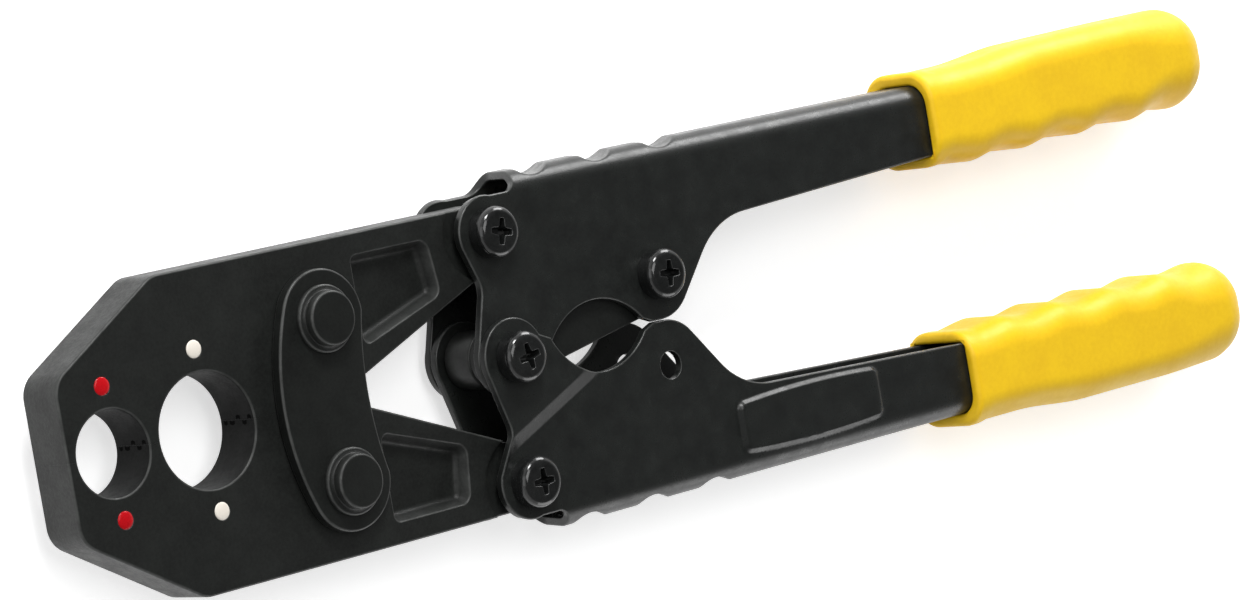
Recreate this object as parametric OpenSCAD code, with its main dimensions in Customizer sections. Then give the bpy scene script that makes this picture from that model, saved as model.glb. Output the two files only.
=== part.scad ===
// Two-handled PEX crimp tool for 1/2 in and 3/4 in copper crimp rings, closed.
// The tool lies flat: X runs along it from the nose to the grips, Y across it and Z through
// its thickness. The origin is on the axis of the large die, halfway through the jaws.

/* [Dies] */
// Diameter of the small die, near the nose
small_die_d = 17.9; // [16:0.1:20]
// Diameter of the large die, at the origin
large_die_d = 24.2; // [22:0.1:25]
// Distance between the two die axes
die_pitch = 24; // [23.5:0.5:28]
// Steel between the small die and the nose
nose_wall = 2.4; // [2:0.1:5]
// Diameter of the painted dimples beside the dies
mark_d = 3.8; // [2:0.1:5]
// Depth of the painted dimples
mark_depth = 0.8; // [0.5:0.1:2]
// Distance from a die's edge to the centre of its dimple
mark_margin = 4.8; // [3:0.1:7]

/* [Jaws] */
// Thickness of the jaws
jaw_t = 12; // [10:0.1:16]
// Half the width of the closed jaws
head_half_w = 33.5; // [32:0.1:34.5]
// Half the width of the flat nose, before its corners are rounded
nose_half_w = 16.4; // [13:0.1:20]
// Distance from the large die's axis forward to the corner where the slanted side ends
shoulder_x = 7.5; // [0:0.1:10]
// Radius of the corners of the head
head_corner_r = 6; // [2:0.5:8]
// Angle that the inner edge of each rear arm makes with the centreline
arm_flare = 22.3; // [20:0.1:23]
// Reach of each rear arm past its link pin
arm_end_reach = 7.8; // [6.5:0.1:8.5]
// Radius of the corners at the rear end of each arm, as a share of that end's width
arm_end_share = 0.44; // [0.2:0.02:0.5]
// Depth of the pocket in each face of an arm
pocket_depth = 3; // [1:0.1:4.5]
// Steel left outside the pocket, along the outer edge of the arm
pocket_rim = 4.9; // [3:0.1:7]
// Distance of the pocket's innermost corner from the centreline
pocket_low_y = 9.4; // [8.5:0.1:11]
// Distance from the side plate's lobe back to the pocket
pocket_lead = 1.6; // [0.5:0.1:3]
// Distance from the back of the pocket to the handle's lobe
pocket_tail = 6; // [4:0.1:8]
// Angle by which the pocket's inner edge turns away from the inner edge of the arm
pocket_skew = 4.5; // [2:0.1:6]
// Radius of the pocket's front corners
pocket_front_r = 1.5; // [0.5:0.1:2.5]
// Radius of the pocket's rear corners
pocket_back_r = 2.5; // [1:0.1:3]
// Angle by which each jaw opens
jaw_opening = 17.2; // [10:0.1:17.4]

/* [Side plates] */
// Thickness of each side plate
plate_t = 3; // [2:0.1:4]
// Radius of the plate's lobe round each jaw pin
plate_lobe_r = 10.6; // [9:0.1:12]
// How far the plate's front edge bulges past the jaw pins
plate_bulge = 14.2; // [13.2:0.1:16]
// Distance from the jaw pins back to the middle of the plate's rear edge
plate_back = 8.6; // [6:0.1:10]
// Distance of the jaw pins behind the large die's axis
jaw_pin_x = 31.9; // [30.5:0.1:34]
// Distance of each jaw pin from the centreline
jaw_pin_y = 17.3; // [16.5:0.1:18.5]
// Diameter of the jaw pins
jaw_pin_d = 10; // [8:0.1:11]
// Diameter of the base of a jaw pin's riveted head
rivet_base_d = 14.4; // [13:0.1:16]
// Diameter of the flat top of the head
rivet_top_d = 11.5; // [9:0.1:12.5]
// Height of the head
rivet_h = 3.5; // [2:0.1:4.5]

/* [Pivots] */
// Distance of the centre pivot behind the large die's axis
pivot_x = 80.6; // [78:0.1:84]
// Distance of each link pin from the outer edge of the closed jaws
link_inset = 6.1; // [5.5:0.1:6.5]
// Diameter of the link and centre barrels
barrel_d = 8.5; // [7.5:0.1:9]
// Distance of the stop screw behind the centre pivot
stop_back = 46; // [44:0.1:50]
// Diameter of the stop barrel
stop_barrel_d = 6.1; // [5:0.1:7]
// Thickness of the stop plate
stop_plate_t = 4; // [2:0.1:5]
// Radius of the stop plate's end at the centre pivot
stop_plate_front_r = 6.2; // [5.8:0.1:8]
// Radius of the stop plate's end at the stop screw
stop_plate_back_r = 8.1; // [5:0.1:9]
// Outer diameter of the spacer round the centre barrel
spacer_d = 13; // [11:0.1:15]
// Outer diameter of the spacer round the stop barrel
stop_spacer_d = 10; // [8:0.1:14]

/* [Screws] */
// Diameter of the screw heads and of the barrel heads
screw_head_d = 11.2; // [10:0.1:13]
// Height of the screw heads
screw_head_h = 4.6; // [3.6:0.1:5]
// Height of the barrel heads
barrel_head_h = 3.2; // [2:0.1:4]
// Thread diameter of the link and centre screws
screw_d = 5; // [4:0.1:6]
// Thread diameter of the stop screw
stop_screw_d = 3.6; // [3:0.1:4]
// Length of the screw threads
thread_len = 10; // [6:0.5:12]
// Width across the cross recess
recess_w = 6.4; // [5:0.1:7.5]
// Width of one slot of the cross recess
recess_slot = 1.5; // [1:0.1:2]
// Depth of the cross recess
recess_depth = 2.4; // [1:0.1:3]

/* [Handles] */
// Thickness of the handles' sheet
sheet = 2; // [2:0.1:3]
// Distance of the handle's back from the centreline
spine_y = 39.5; // [39:0.1:41]
// Distance from the link pin back to the front end of the handle's back
spine_start = 8.3; // [7.5:0.1:11]
// How much further back the handle's back starts at the rear face of the tool
spine_slant = 6.5; // [0:0.1:8]
// Radius of the notch between the link lobe and the handle's back
notch_r = 2.2; // [0.5:0.1:3]
// How far the notch cuts below the top of the link lobe
notch_dip = 0.3; // [0:0.1:1]
// Distance from the centre pivot forward to the front end of the step in the stepped cheek
step_lead = 2.6; // [1:0.1:4]
// Distance of that end of the step from the centreline
step_front_y = 20.1; // [19:0.1:20.5]
// Distance from the centre pivot back to the rear end of the step
step_back = 21.2; // [20:0.1:23]
// Distance of that end of the step from the centreline
step_back_y = 9.7; // [9:0.1:10.5]
// Radius of the bends between back and cheeks
bend_r = 5; // [3.5:0.1:5.5]
// Radius of the lobe round the link pin
link_lobe_r = 8.1; // [7.5:0.1:9]
// Radius of the lobe round the centre pivot
centre_lobe_r = 8.6; // [8:0.1:10]
// Radius of the lobe round the stop hole
stop_lobe_r = 10.2; // [9:0.1:11]
// Distance that the stop lobe's flat foot reaches forward of the stop hole
stop_foot = 6.4; // [2:0.1:7]
// Radius of the arc cut between centre lobe and stop lobe
arch_r = 15.6; // [14:0.1:17]
// Height of the top of that arc above the centreline
arch_rise = 7.9; // [6:0.1:9]
// Distance from the centre pivot back to the middle of that arc
arch_back = 25.4; // [25:0.1:26.5]
// Distance from the centre pivot back to where the slanted edge meets the bar
sweep_back = 66.8; // [64:0.1:75]
// Radius of the bend from slanted edge to bar
sweep_r = 20; // [6:0.5:22]
// Distance of the bar's inner edge from the centreline at the sweep
bar_inner_y = 19.3; // [18:0.1:22]
// Angle by which the bar's inner edge leans away from the centreline
bar_lean = 2.5; // [0:0.1:3.5]
// Distance from the centre pivot to the end of the bar, inside the grip
bar_len = 220; // [190:1:224]
// Number of grooves pressed into the handle's back
groove_count = 3; // [0:1:5]
// Distance from the centre pivot to the middle of the first groove
groove_first = 20.5; // [19:0.5:24]
// Distance between grooves
groove_pitch = 19.2; // [16:0.1:21]
// Angle by which the grooves lean, like the front end of the back
groove_slant = 28; // [0:1:32]
// Radius of the grooves
groove_r = 5.6; // [4:0.1:8]
// Depth of the grooves
groove_depth = 1.8; // [0.5:0.1:2]
// Length of the raised label pad
pad_len = 44.5; // [30:0.5:50]
// Width of the raised label pad
pad_w = 12; // [8:0.1:13]
// Distance from the centre pivot to the front of the label pad
pad_start = 64; // [62:0.5:80]
// Height of the label pad above the cheek
pad_rise = 1; // [0.5:0.1:1.5]
// Radius of the label pad's corners
pad_r = 2.5; // [1:0.1:4]
// How far the label pad sits outward of the middle of the bar
pad_shift = 1.4; // [0:0.1:1.6]

/* [Grips] */
// Distance from the centre pivot to the mouth of the grip
mouth_back = 138.6; // [120:0.5:150]
// Length of the grip
grip_len = 103.5; // [100:0.5:130]
// Height of the grip
grip_h = 25.2; // [24.6:0.1:27]
// Width of the grip
grip_w = 22.6; // [21.6:0.1:26]
// Radius of the grip's long edges
grip_edge_r = 7; // [3:0.1:7.5]
// Radius of the grip's end
grip_end_r = 11; // [5:0.5:11]
// How far the grip's neck, behind the collar, is drawn in on each side
neck_draw = 1.6; // [0.8:0.1:1.7]
// Length of the neck, from the mouth
neck_len = 22; // [14:0.5:30]
// Length over which the neck widens to the full height
neck_run = 16; // [8:0.5:24]
// Radius that smooths the neck into the rest of the grip
neck_blend_r = 20; // [8:1:24]
// Length of the collar round the mouth
collar_len = 5; // [2:0.5:8]
// Distance of the grip's axis from the centreline at the mouth
grip_axis_y = 31.1; // [31:0.1:31.6]
// Angle by which the upper grip leans away from the centreline
upper_grip_lean = 1.2; // [0:0.1:2]
// Angle by which the lower grip leans away from the centreline
lower_grip_lean = 0.1; // [0:0.1:2]
// Number of finger grooves
finger_count = 4; // [1:1:5]
// Distance from the mouth to the first finger groove
finger_first = 25; // [20:0.5:30]
// Distance between finger grooves
finger_pitch = 19.5; // [17:0.5:20]
// Depth of the finger grooves
finger_depth = 1.3; // [0.5:0.1:1.5]

/* [Clearances] */
// Radial clearance of a pin or barrel in its hole
running_gap = 0.05; // [0.02:0.01:0.1]
// Gap between the closed jaws
parting_gap = 0.1; // [0.1:0.05:0.4]
// Gap between a side plate and the jaws
plate_gap = 0.15; // [0.1:0.05:0.3]
// Gap between the jaws and the handle cheeks
cheek_gap = 0.3; // [0.25:0.05:0.6]
// Gap between the two handles' nested lobes
nest_gap = 0.1; // [0.1:0.05:0.3]
// Gap between the two stop lobes
stop_gap = 0.2; // [0.1:0.05:0.5]
// Gap between a barrel and a hole that it doesn't turn in, and between a screw and its thread
loose_gap = 0.05; // [0.02:0.01:0.1]
// Free space round the jaw pin in the upper jaw's slot
slot_play = 0.6; // [0.5:0.05:0.8]
// Radial gap that keeps the jaws apart behind their pins as they open
heel_relief = 0.3; // [0.2:0.05:0.6]
// Gap between the grip's bore and the handle
grip_gap = 0.1; // [0:0.05:0.3]

/* [Hidden] */
$fn = 64;
arc_steps = 10;
cut = 1;

steel = [0.09, 0.09, 0.1];
screw_steel = [0.07, 0.07, 0.08];
grip_yellow = [0.97, 0.78, 0.05];
mark_red = [0.8, 0.1, 0.12];
mark_white = [0.9, 0.9, 0.88];

// Heights above the middle of the jaws
face_z = jaw_t / 2;
plate_z = face_z + plate_gap;
plate_top = plate_z + plate_t;
cheek_z = face_z + cheek_gap;
cheek_top = cheek_z + sheet;
lobe_z = cheek_top + nest_gap;
lobe_top = lobe_z + sheet;
centre_seat = lobe_top + nest_gap;
stop_plate_z = cheek_z - nest_gap - stop_plate_t;

// Places along and across the tool
link_y = head_half_w - link_inset;
nose_x = -die_pitch - small_die_d / 2 - nose_wall;
parting_y = parting_gap / 2;
heel_r = jaw_pin_y - parting_y - heel_relief;
heel_end = [jaw_pin_x + heel_r * sin(arm_flare), jaw_pin_y - heel_r * cos(arm_flare)];
arm_end_x = pivot_x + arm_end_reach;
arm_end_low = heel_end[1] + (arm_end_x - heel_end[0]) * tan(arm_flare);
arm_end_r = arm_end_share * (head_half_w - arm_end_low);
pocket_x = jaw_pin_x + plate_lobe_r + pocket_lead;
pocket_back = pivot_x - link_lobe_r - pocket_tail;
stop_x = pivot_x + stop_back;
stop_y = stop_lobe_r + stop_gap / 2;
spine_x = pivot_x + spine_start;
notch_y = link_y + link_lobe_r - notch_dip;
mouth_x = pivot_x + mouth_back;
bar_end = pivot_x + bar_len;
pad_x = pivot_x + pad_start;
pad_mid_y = (spine_y - bend_r + bar_inner_y) / 2 + pad_shift;

// Half the swing of the handles when the jaws are fully open: the link pin keeps its distance
// from the centre pivot, and the jaw carries it towards the centreline
arm_dx = pivot_x - jaw_pin_x;
arm_dy = link_y - jaw_pin_y;
arm_len = norm([arm_dx, arm_dy]);
arm_angle = atan2(arm_dy, arm_dx);
function link_height(turn) = jaw_pin_y + arm_len * sin(arm_angle - turn);
half_swing = acos(link_height(jaw_opening) / link_y);

// The joints turn at constant ratios, so between the closed and the open pose the upper jaw
// drifts off its pin by this much, and its hole is a slot
function drift(share) = 2 * (link_y * cos(share * half_swing) - link_height(share * jaw_opening));
slot_len = max([for (i = [0:20]) drift(i / 20)]);
slot_lean = jaw_opening / 2;

// Points of an arc from angle a to angle b
function arc(centre, r, a, b, steps = arc_steps) = [
    for (i = [0:steps])
        let (t = a + (b - a) * i / steps)
            [centre[0] + r * cos(t), centre[1] + r * sin(t)]
];

// Points of a polygon whose corners, given as [x, y, radius], are rounded
function rounded(corners) = [
    for (i = [0:len(corners) - 1])
        let (
            n = len(corners),
            p = [corners[i][0], corners[i][1]],
            before = corners[(i + n - 1) % n],
            after = corners[(i + 1) % n],
            u = [before[0], before[1]] - p,
            v = [after[0], after[1]] - p,
            u1 = u / norm(u),
            v1 = v / norm(v),
            r = corners[i][2],
            half = acos(max(-1, min(1, u1 * v1))) / 2
        )
            each (r <= 0 ? [p] : rounded_corner(p, u1, v1, r, half))
];

// Points of one rounded corner at p, between the directions u1 and v1
function rounded_corner(p, u1, v1, r, half) =
    let (
        mid = (u1 + v1) / norm(u1 + v1),
        centre = p + mid * r / sin(half),
        start = p + u1 * r / tan(half) - centre,
        stop = p + v1 * r / tan(half) - centre,
        a = atan2(start[1], start[0]),
        turn = (atan2(stop[1], stop[0]) - a + 540) % 360 - 180
    )
        arc(centre, r, a, a + turn);

// The outline of a strap round two circles
function strap_outline(c1, r1, c2, r2) =
    let (
        d = c2 - c1,
        along = atan2(d[1], d[0]),
        lean = acos((r1 - r2) / norm(d))
    )
        concat(
            arc(c1, r1, along + lean, along + 360 - lean, 2 * arc_steps),
            arc(c2, r2, along - lean, along + lean, 2 * arc_steps)
        );

// A hole or pin along Z, from z1 to z2, centred on a point
module drill(at, r, z1, z2) {
    translate([at[0], at[1], z1]) cylinder(r = r, h = z2 - z1);
}

// The same thing on both sides of the middle of the jaws
module both_faces() {
    children();
    mirror([0, 0, 1]) children();
}

// The lower half of the tool is the upper half turned over about the X axis
module turned_over() {
    rotate([180, 0, 0]) children();
}

function jaw_outline() = concat(
    [[nose_x, parting_y], [jaw_pin_x, parting_y]],
    arc([jaw_pin_x, jaw_pin_y], heel_r, -90, arm_flare - 90),
    rounded([
        [heel_end[0], heel_end[1], 0],
        [arm_end_x, arm_end_low, arm_end_r],
        [arm_end_x, head_half_w, arm_end_r],
        [-shoulder_x, head_half_w, head_corner_r],
        [nose_x, nose_half_w, head_corner_r],
        [nose_x, parting_y, 0]
    ])
);

function pocket_outline() =
    let (
        slope = tan(arm_flare - pocket_skew),
        low_back_y = pocket_low_y + (pocket_back - pocket_x) * slope,
        top_y = head_half_w - pocket_rim
    )
        rounded([
            [pocket_x, top_y, pocket_front_r],
            [pocket_x, pocket_low_y, pocket_front_r],
            [pocket_back, low_back_y, pocket_back_r],
            [pocket_back - pocket_front_r, top_y, pocket_back_r]
        ]);

// A jaw without its jaw pin hole, as the upper one
module jaw_blank() {
    difference() {
        translate([0, 0, -face_z]) linear_extrude(jaw_t) polygon(jaw_outline());
        drill([-die_pitch, 0], small_die_d / 2, -face_z - cut, face_z + cut);
        drill([0, 0], large_die_d / 2, -face_z - cut, face_z + cut);
        drill([pivot_x, link_y], barrel_d / 2 + running_gap, -face_z - cut, face_z + cut);
        both_faces()
            translate([0, 0, face_z - pocket_depth])
                linear_extrude(pocket_depth + cut) polygon(pocket_outline());
    }
}

function small_mark_y() = small_die_d / 2 + mark_margin;
function large_mark_y() = large_die_d / 2 + mark_margin;

// The two dimples in a jaw's front face, on the side given by 1 or -1
module mark_dimples(side) {
    drill([-die_pitch, side * small_mark_y()], mark_d / 2, face_z - mark_depth, face_z + cut);
    drill([0, side * large_mark_y()], mark_d / 2, face_z - mark_depth, face_z + cut);
}

// Paint in a dimple, just below the jaw's face
module paint(x, y) {
    drill([x, y], mark_d / 2 - loose_gap, face_z - mark_depth, face_z - 0.1);
}

// The slot in the upper jaw lets the jaw pin stay clear of it in between the end poses
module pin_slot() {
    slot_r = jaw_pin_d / 2 + slot_play;
    translate([jaw_pin_x, jaw_pin_y, -face_z - cut])
        rotate([0, 0, slot_lean]) {
            cylinder(r = slot_r, h = jaw_t + 2 * cut);
            translate([0, -slot_len, 0]) cylinder(r = slot_r, h = jaw_t + 2 * cut);
            translate([-slot_r, -slot_len, 0]) cube([2 * slot_r, slot_len, jaw_t + 2 * cut]);
        }
}

module upper_jaw() {
    color(steel)
        difference() {
            jaw_blank();
            mark_dimples(1);
            pin_slot();
        }
}

module lower_jaw() {
    color(steel)
        difference() {
            turned_over() jaw_blank();
            mark_dimples(-1);
            drill([jaw_pin_x, -jaw_pin_y], jaw_pin_d / 2 + running_gap, -face_z - cut, face_z + cut);
        }
}

// A kidney: two lobes round the jaw pins, a front edge that runs on tangent to both lobes, and
// a hollow rear edge
module plate_outline() {
    front_r = (plate_bulge * plate_bulge + jaw_pin_y * jaw_pin_y - plate_lobe_r * plate_lobe_r)
        / (2 * (plate_bulge - plate_lobe_r));
    front_x = jaw_pin_x - plate_bulge + front_r;
    front_a = atan2(jaw_pin_y, front_x - jaw_pin_x);
    hollow = plate_lobe_r - plate_back;
    back_r = (jaw_pin_y * jaw_pin_y + hollow * hollow) / (2 * hollow);
    back_x = jaw_pin_x + plate_back + back_r;
    back_a = asin(jaw_pin_y / back_r);
    for (side = [-1, 1])
        translate([jaw_pin_x, side * jaw_pin_y]) circle(r = plate_lobe_r);
    polygon(concat(
        arc([front_x, 0], front_r, 180 - front_a, 180 + front_a, 2 * arc_steps),
        arc([back_x, 0], back_r, 180 + back_a, 180 - back_a)
    ));
}

module side_plate() {
    color(steel)
        difference() {
            translate([0, 0, plate_z]) linear_extrude(plate_t) plate_outline();
            for (side = [-1, 1])
                drill([jaw_pin_x, side * jaw_pin_y], jaw_pin_d / 2 + loose_gap, 0, plate_top + cut);
        }
}

module front_side_plate() {
    side_plate();
}

module rear_side_plate() {
    mirror([0, 0, 1]) side_plate();
}

// A jaw pin, riveted over outside both side plates
module jaw_pin(side) {
    base_r = rivet_base_d / 2;
    top_r = rivet_top_d / 2;
    rim_h = rivet_h * 0.3;
    bevel = 0.5;
    color(steel)
        translate([jaw_pin_x, side * jaw_pin_y, 0]) {
            translate([0, 0, -plate_top]) cylinder(d = jaw_pin_d, h = 2 * plate_top);
            both_faces()
                translate([0, 0, plate_top])
                    rotate_extrude()
                        polygon([
                            [0, 0], [base_r, 0], [base_r, rim_h],
                            [base_r - bevel, rim_h + bevel], [top_r + bevel, rivet_h - bevel],
                            [top_r, rivet_h], [0, rivet_h]
                        ]);
        }
}

module upper_jaw_pin() {
    jaw_pin(1);
}

module lower_jaw_pin() {
    jaw_pin(-1);
}

// The cheek of a handle, seen from the front, as the upper one
module cheek_outline() {
    arch_y = arch_rise - arch_r;
    arch_x = pivot_x + arch_back;
    arch_front_a = 156;
    arch_back_a = 38;
    slant = 50;
    leave = [stop_x + stop_lobe_r * sin(slant), stop_y - stop_lobe_r * cos(slant)];
    lean_rise = (bar_end - pivot_x - sweep_back) * tan(bar_lean);
    // The cheek's front edge is drawn in between its two lobes
    waist_x = pivot_x - centre_lobe_r * 0.48;
    waist_y = link_y * 0.58;
    waist_r = 6;
    translate([pivot_x, link_y]) circle(r = link_lobe_r);
    translate([pivot_x, 0]) circle(r = centre_lobe_r);
    translate([stop_x, stop_y]) circle(r = stop_lobe_r);
    polygon(concat(
        [[pivot_x, 0]],
        [[pivot_x + centre_lobe_r * 0.8, -centre_lobe_r * 0.5]],
        arc([arch_x, arch_y], arch_r, arch_front_a, arch_back_a, 2 * arc_steps),
        [[stop_x - stop_foot, stop_gap / 2], [stop_x, stop_gap / 2]],
        rounded([
            [leave[0], leave[1], 0],
            [pivot_x + sweep_back, bar_inner_y, sweep_r],
            [bar_end, bar_inner_y + lean_rise, 0],
            [bar_end, spine_y, 0],
            [spine_x, spine_y, 0.8],
            [spine_x, notch_y, notch_r],
            [pivot_x + link_lobe_r * 0.2, notch_y, 0],
            [pivot_x, link_y, 0],
            [pivot_x - link_lobe_r * 0.95, link_y - link_lobe_r * 0.3, 0],
            [waist_x, waist_y, waist_r],
            [pivot_x - centre_lobe_r * 0.92, centre_lobe_r * 0.4, 0]
        ])
    ));
}

// Where a handle's far cheek steps out over the other handle, as two points of the step's line
step_from = [pivot_x - step_lead, step_front_y];
step_to = [pivot_x + step_back, step_back_y];
step_angle = atan2(step_to[1] - step_from[1], step_to[0] - step_from[0]);

// The sheet of the stepped cheek, as a bent strip that runs along the step's line. It is made
// on the +Z side
module stepped_sheet() {
    reach = 400;
    rise = lobe_z - cheek_z;
    translate([step_from[0], step_from[1], 0])
        rotate([0, 0, step_angle])
            rotate([90, 0, 90])
                translate([0, 0, -reach / 2])
                    linear_extrude(reach)
                        polygon([
                            [reach, cheek_z], [0, cheek_z], [-rise, lobe_z], [-reach, lobe_z],
                            [-reach, lobe_top], [-rise - 1, lobe_top], [-1, cheek_top],
                            [reach, cheek_top]
                        ]);
}

// The label pad on the stepped cheek, grown by a margin, from z1 to z2
module label_pad(margin, z1, z2) {
    translate([0, 0, z1])
        linear_extrude(z2 - z1)
            polygon(rounded([
                [pad_x - margin, pad_mid_y - pad_w / 2 - margin, pad_r],
                [pad_x + pad_len + margin, pad_mid_y - pad_w / 2 - margin, pad_r],
                [pad_x + pad_len + margin, pad_mid_y + pad_w / 2 + margin, pad_r],
                [pad_x - margin, pad_mid_y + pad_w / 2 + margin, pad_r]
            ]));
}

// The envelope of the channel, with the bends rounded. It is wider where the cheeks step out
module channel_envelope() {
    narrow_y = step_from[1] + 4;
    rotate([90, 0, 90])
        linear_extrude(2 * bar_end)
            polygon(rounded([
                [-spine_y, -lobe_top, 0], [narrow_y, -lobe_top, 0], [narrow_y, -cheek_top, 0],
                [spine_y, -cheek_top, bend_r], [spine_y, cheek_top, bend_r],
                [narrow_y, cheek_top, 0], [narrow_y, lobe_top, 0], [-spine_y, lobe_top, 0]
            ]));
}

// The slanted cut at the front end of the handle's back. The back starts at its foremost on the
// face given by 1 for +Z or -1 for -Z
module spine_cut(side) {
    reach = 2 * notch_r + link_lobe_r;
    translate([spine_x, spine_y + cut, 0])
        rotate([90, 0, 0])
            linear_extrude(spine_y + cut - notch_y)
                polygon([
                    [-reach, -lobe_top], [spine_slant * (1 + side) / 2, -lobe_top],
                    [spine_slant * (1 - side) / 2, lobe_top], [-reach, lobe_top]
                ]);
}

// One groove across the handle's back, as a cylinder. At the face given by side it lies furthest
// forward
module back_groove(number, side, r) {
    reach = 2 * cheek_top;
    translate([
        pivot_x + groove_first + number * groove_pitch,
        spine_y + groove_r - groove_depth,
        0
    ])
        rotate([0, -side * groove_slant, 0])
            translate([0, 0, -reach])
                cylinder(r = r, h = 2 * reach);
}

// The sheet that the grooves press into the channel
module pressed_ribs(side) {
    intersection() {
        translate([spine_x, spine_y - sheet - groove_depth, -cheek_z - sheet / 2])
            cube([bar_end - spine_x, groove_depth + sheet / 2, 2 * cheek_z + sheet]);
        union() {
            for (i = [0:1:groove_count - 1]) back_groove(i, side, groove_r + sheet);
        }
    }
}

// Fills the inner corner of the +Z bend out to a round
module bend_filling() {
    inner_r = bend_r - sheet;
    difference() {
        translate([spine_x, spine_y - sheet - inner_r, cheek_z - inner_r])
            cube([bar_end - spine_x, inner_r + sheet / 2, inner_r + sheet / 2]);
        translate([spine_x - cut, spine_y - sheet - inner_r, cheek_z - inner_r])
            rotate([0, 90, 0])
                cylinder(r = inner_r, h = bar_end - spine_x + 2 * cut);
    }
}

// A handle as the upper one: a channel with its flat cheek in front and its stepped cheek
// behind. Its back starts furthest forward on the face given by 1 for +Z or -1 for -Z
module handle_body(front_side) {
    holes_z = lobe_top + cut;
    difference() {
        union() {
            intersection() {
                channel_envelope();
                union() {
                    translate([0, 0, cheek_z]) linear_extrude(sheet) cheek_outline();
                    translate([spine_x, spine_y - sheet, -cheek_top])
                        cube([bar_end - spine_x, sheet, 2 * cheek_top]);
                    bend_filling();
                    mirror([0, 0, 1]) bend_filling();
                    pressed_ribs(front_side);
                    mirror([0, 0, 1])
                        intersection() {
                            linear_extrude(lobe_top + cut) cheek_outline();
                            stepped_sheet();
                        }
                }
            }
            mirror([0, 0, 1]) label_pad(0, cheek_top - cut, cheek_top + pad_rise);
        }
        mirror([0, 0, 1]) label_pad(-sheet / 2, cheek_z - cut, cheek_z + pad_rise);
        drill([pivot_x, 0], barrel_d / 2 + running_gap, -holes_z, holes_z);
        drill([pivot_x, link_y], barrel_d / 2 + loose_gap, -holes_z, holes_z);
        drill([stop_x, stop_y], stop_barrel_d / 2 + loose_gap, -holes_z, holes_z);
        spine_cut(front_side);
        for (i = [0:1:groove_count - 1]) back_groove(i, front_side, groove_r);
    }
}

module upper_handle() {
    color(steel) handle_body(1);
}

module lower_handle() {
    color(steel) turned_over() handle_body(-1);
}

// The grip's outside in its own frame: X along it from the mouth, Y across, towards the back
module grip_blank() {
    half_h = grip_h / 2;
    half_w = grip_w / 2;
    neck_h = half_h - neck_draw;
    lip = 0.5;
    finger_r = (finger_pitch * finger_pitch / 4 + finger_depth * finger_depth)
        / (2 * finger_depth);
    corner = norm([half_h - grip_edge_r, half_w - grip_edge_r]) + grip_edge_r;
    dome_r = grip_end_r + 1;
    difference() {
        intersection() {
            translate([0, 0, -half_w])
                linear_extrude(grip_w)
                    polygon(rounded([
                        [0, -neck_h - lip, 1.5], [collar_len * 0.7, -neck_h - lip, 1],
                        [collar_len, -neck_h, 0], [3 * collar_len, -half_h, neck_blend_r],
                        [grip_len, -half_h, grip_end_r], [grip_len, half_h, grip_end_r],
                        [neck_len + neck_run, half_h, neck_blend_r],
                        [neck_len, neck_h, neck_blend_r],
                        [collar_len, neck_h, 0],
                        [collar_len * 0.7, neck_h + lip, 1], [0, neck_h + lip, 1.5]
                    ]));
            rotate([0, 90, 0])
                rotate_extrude()
                    polygon(concat(
                        [[0, 0], [corner, 0]],
                        arc([corner - dome_r, grip_len - dome_r], dome_r, 0, 90),
                        [[0, grip_len]]
                    ));
            rotate([90, 0, 0])
                translate([0, 0, -half_h])
                    linear_extrude(grip_h)
                        polygon(rounded([
                            [0, -half_w, 0], [grip_len, -half_w, grip_end_r],
                            [grip_len, half_w, grip_end_r], [0, half_w, 0]
                        ]));
            rotate([90, 0, 90])
                linear_extrude(grip_len)
                    polygon(rounded([
                        [-half_h, -half_w, grip_edge_r], [half_h, -half_w, grip_edge_r],
                        [half_h, half_w, grip_edge_r], [-half_h, half_w, grip_edge_r]
                    ]));
        }
        for (i = [0:1:finger_count - 1])
            drill(
                [finger_first + i * finger_pitch, finger_depth - half_h - finger_r],
                finger_r, -grip_w, grip_w
            );
    }
}

// The space that a handle's bar takes inside its grip
module grip_bore() {
    front_y = bar_inner_y + (mouth_x - pivot_x - sweep_back) * tan(bar_lean) - grip_gap;
    half = cheek_top + grip_gap;
    back_y = spine_y + grip_gap;
    bore_end = bar_end + grip_gap;
    intersection() {
        translate([0, 0, -half])
            linear_extrude(2 * half)
                polygon([
                    [mouth_x - cut, front_y], [mouth_x - cut, back_y], [bore_end, back_y],
                    [bore_end, front_y + (bore_end - mouth_x) * tan(bar_lean)]
                ]);
        rotate([90, 0, 90])
            linear_extrude(2 * bar_end)
                polygon(rounded([
                    [0, -half, 0], [back_y, -half, bend_r], [back_y, half, bend_r], [0, half, 0]
                ]));
    }
}

module grip_body(lean) {
    color(grip_yellow)
        difference() {
            translate([mouth_x, grip_axis_y, 0]) rotate([0, 0, lean]) grip_blank();
            grip_bore();
        }
}

module upper_grip() {
    grip_body(upper_grip_lean);
}

module lower_grip() {
    turned_over() grip_body(lower_grip_lean);
}

// A barrel with a head at the back and a tapped bore at the front, between two heights
module barrel(at, d, thread_d, back_z, front_z) {
    head_r = screw_head_d / 2;
    color(screw_steel)
        translate([at[0], at[1], 0])
            difference() {
                union() {
                    translate([0, 0, back_z]) cylinder(d = d, h = front_z - back_z);
                    translate([0, 0, back_z])
                        mirror([0, 0, 1])
                            rotate_extrude()
                                polygon(concat(
                                    [[0, 0], [head_r, 0]],
                                    arc([head_r - 1.2, barrel_head_h - 1.2], 1.2, 0, 90),
                                    [[0, barrel_head_h]]
                                ));
                }
                translate([0, 0, front_z - thread_len - 2])
                    cylinder(d = thread_d + 2 * loose_gap, h = thread_len + 2 + cut);
            }
}

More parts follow.
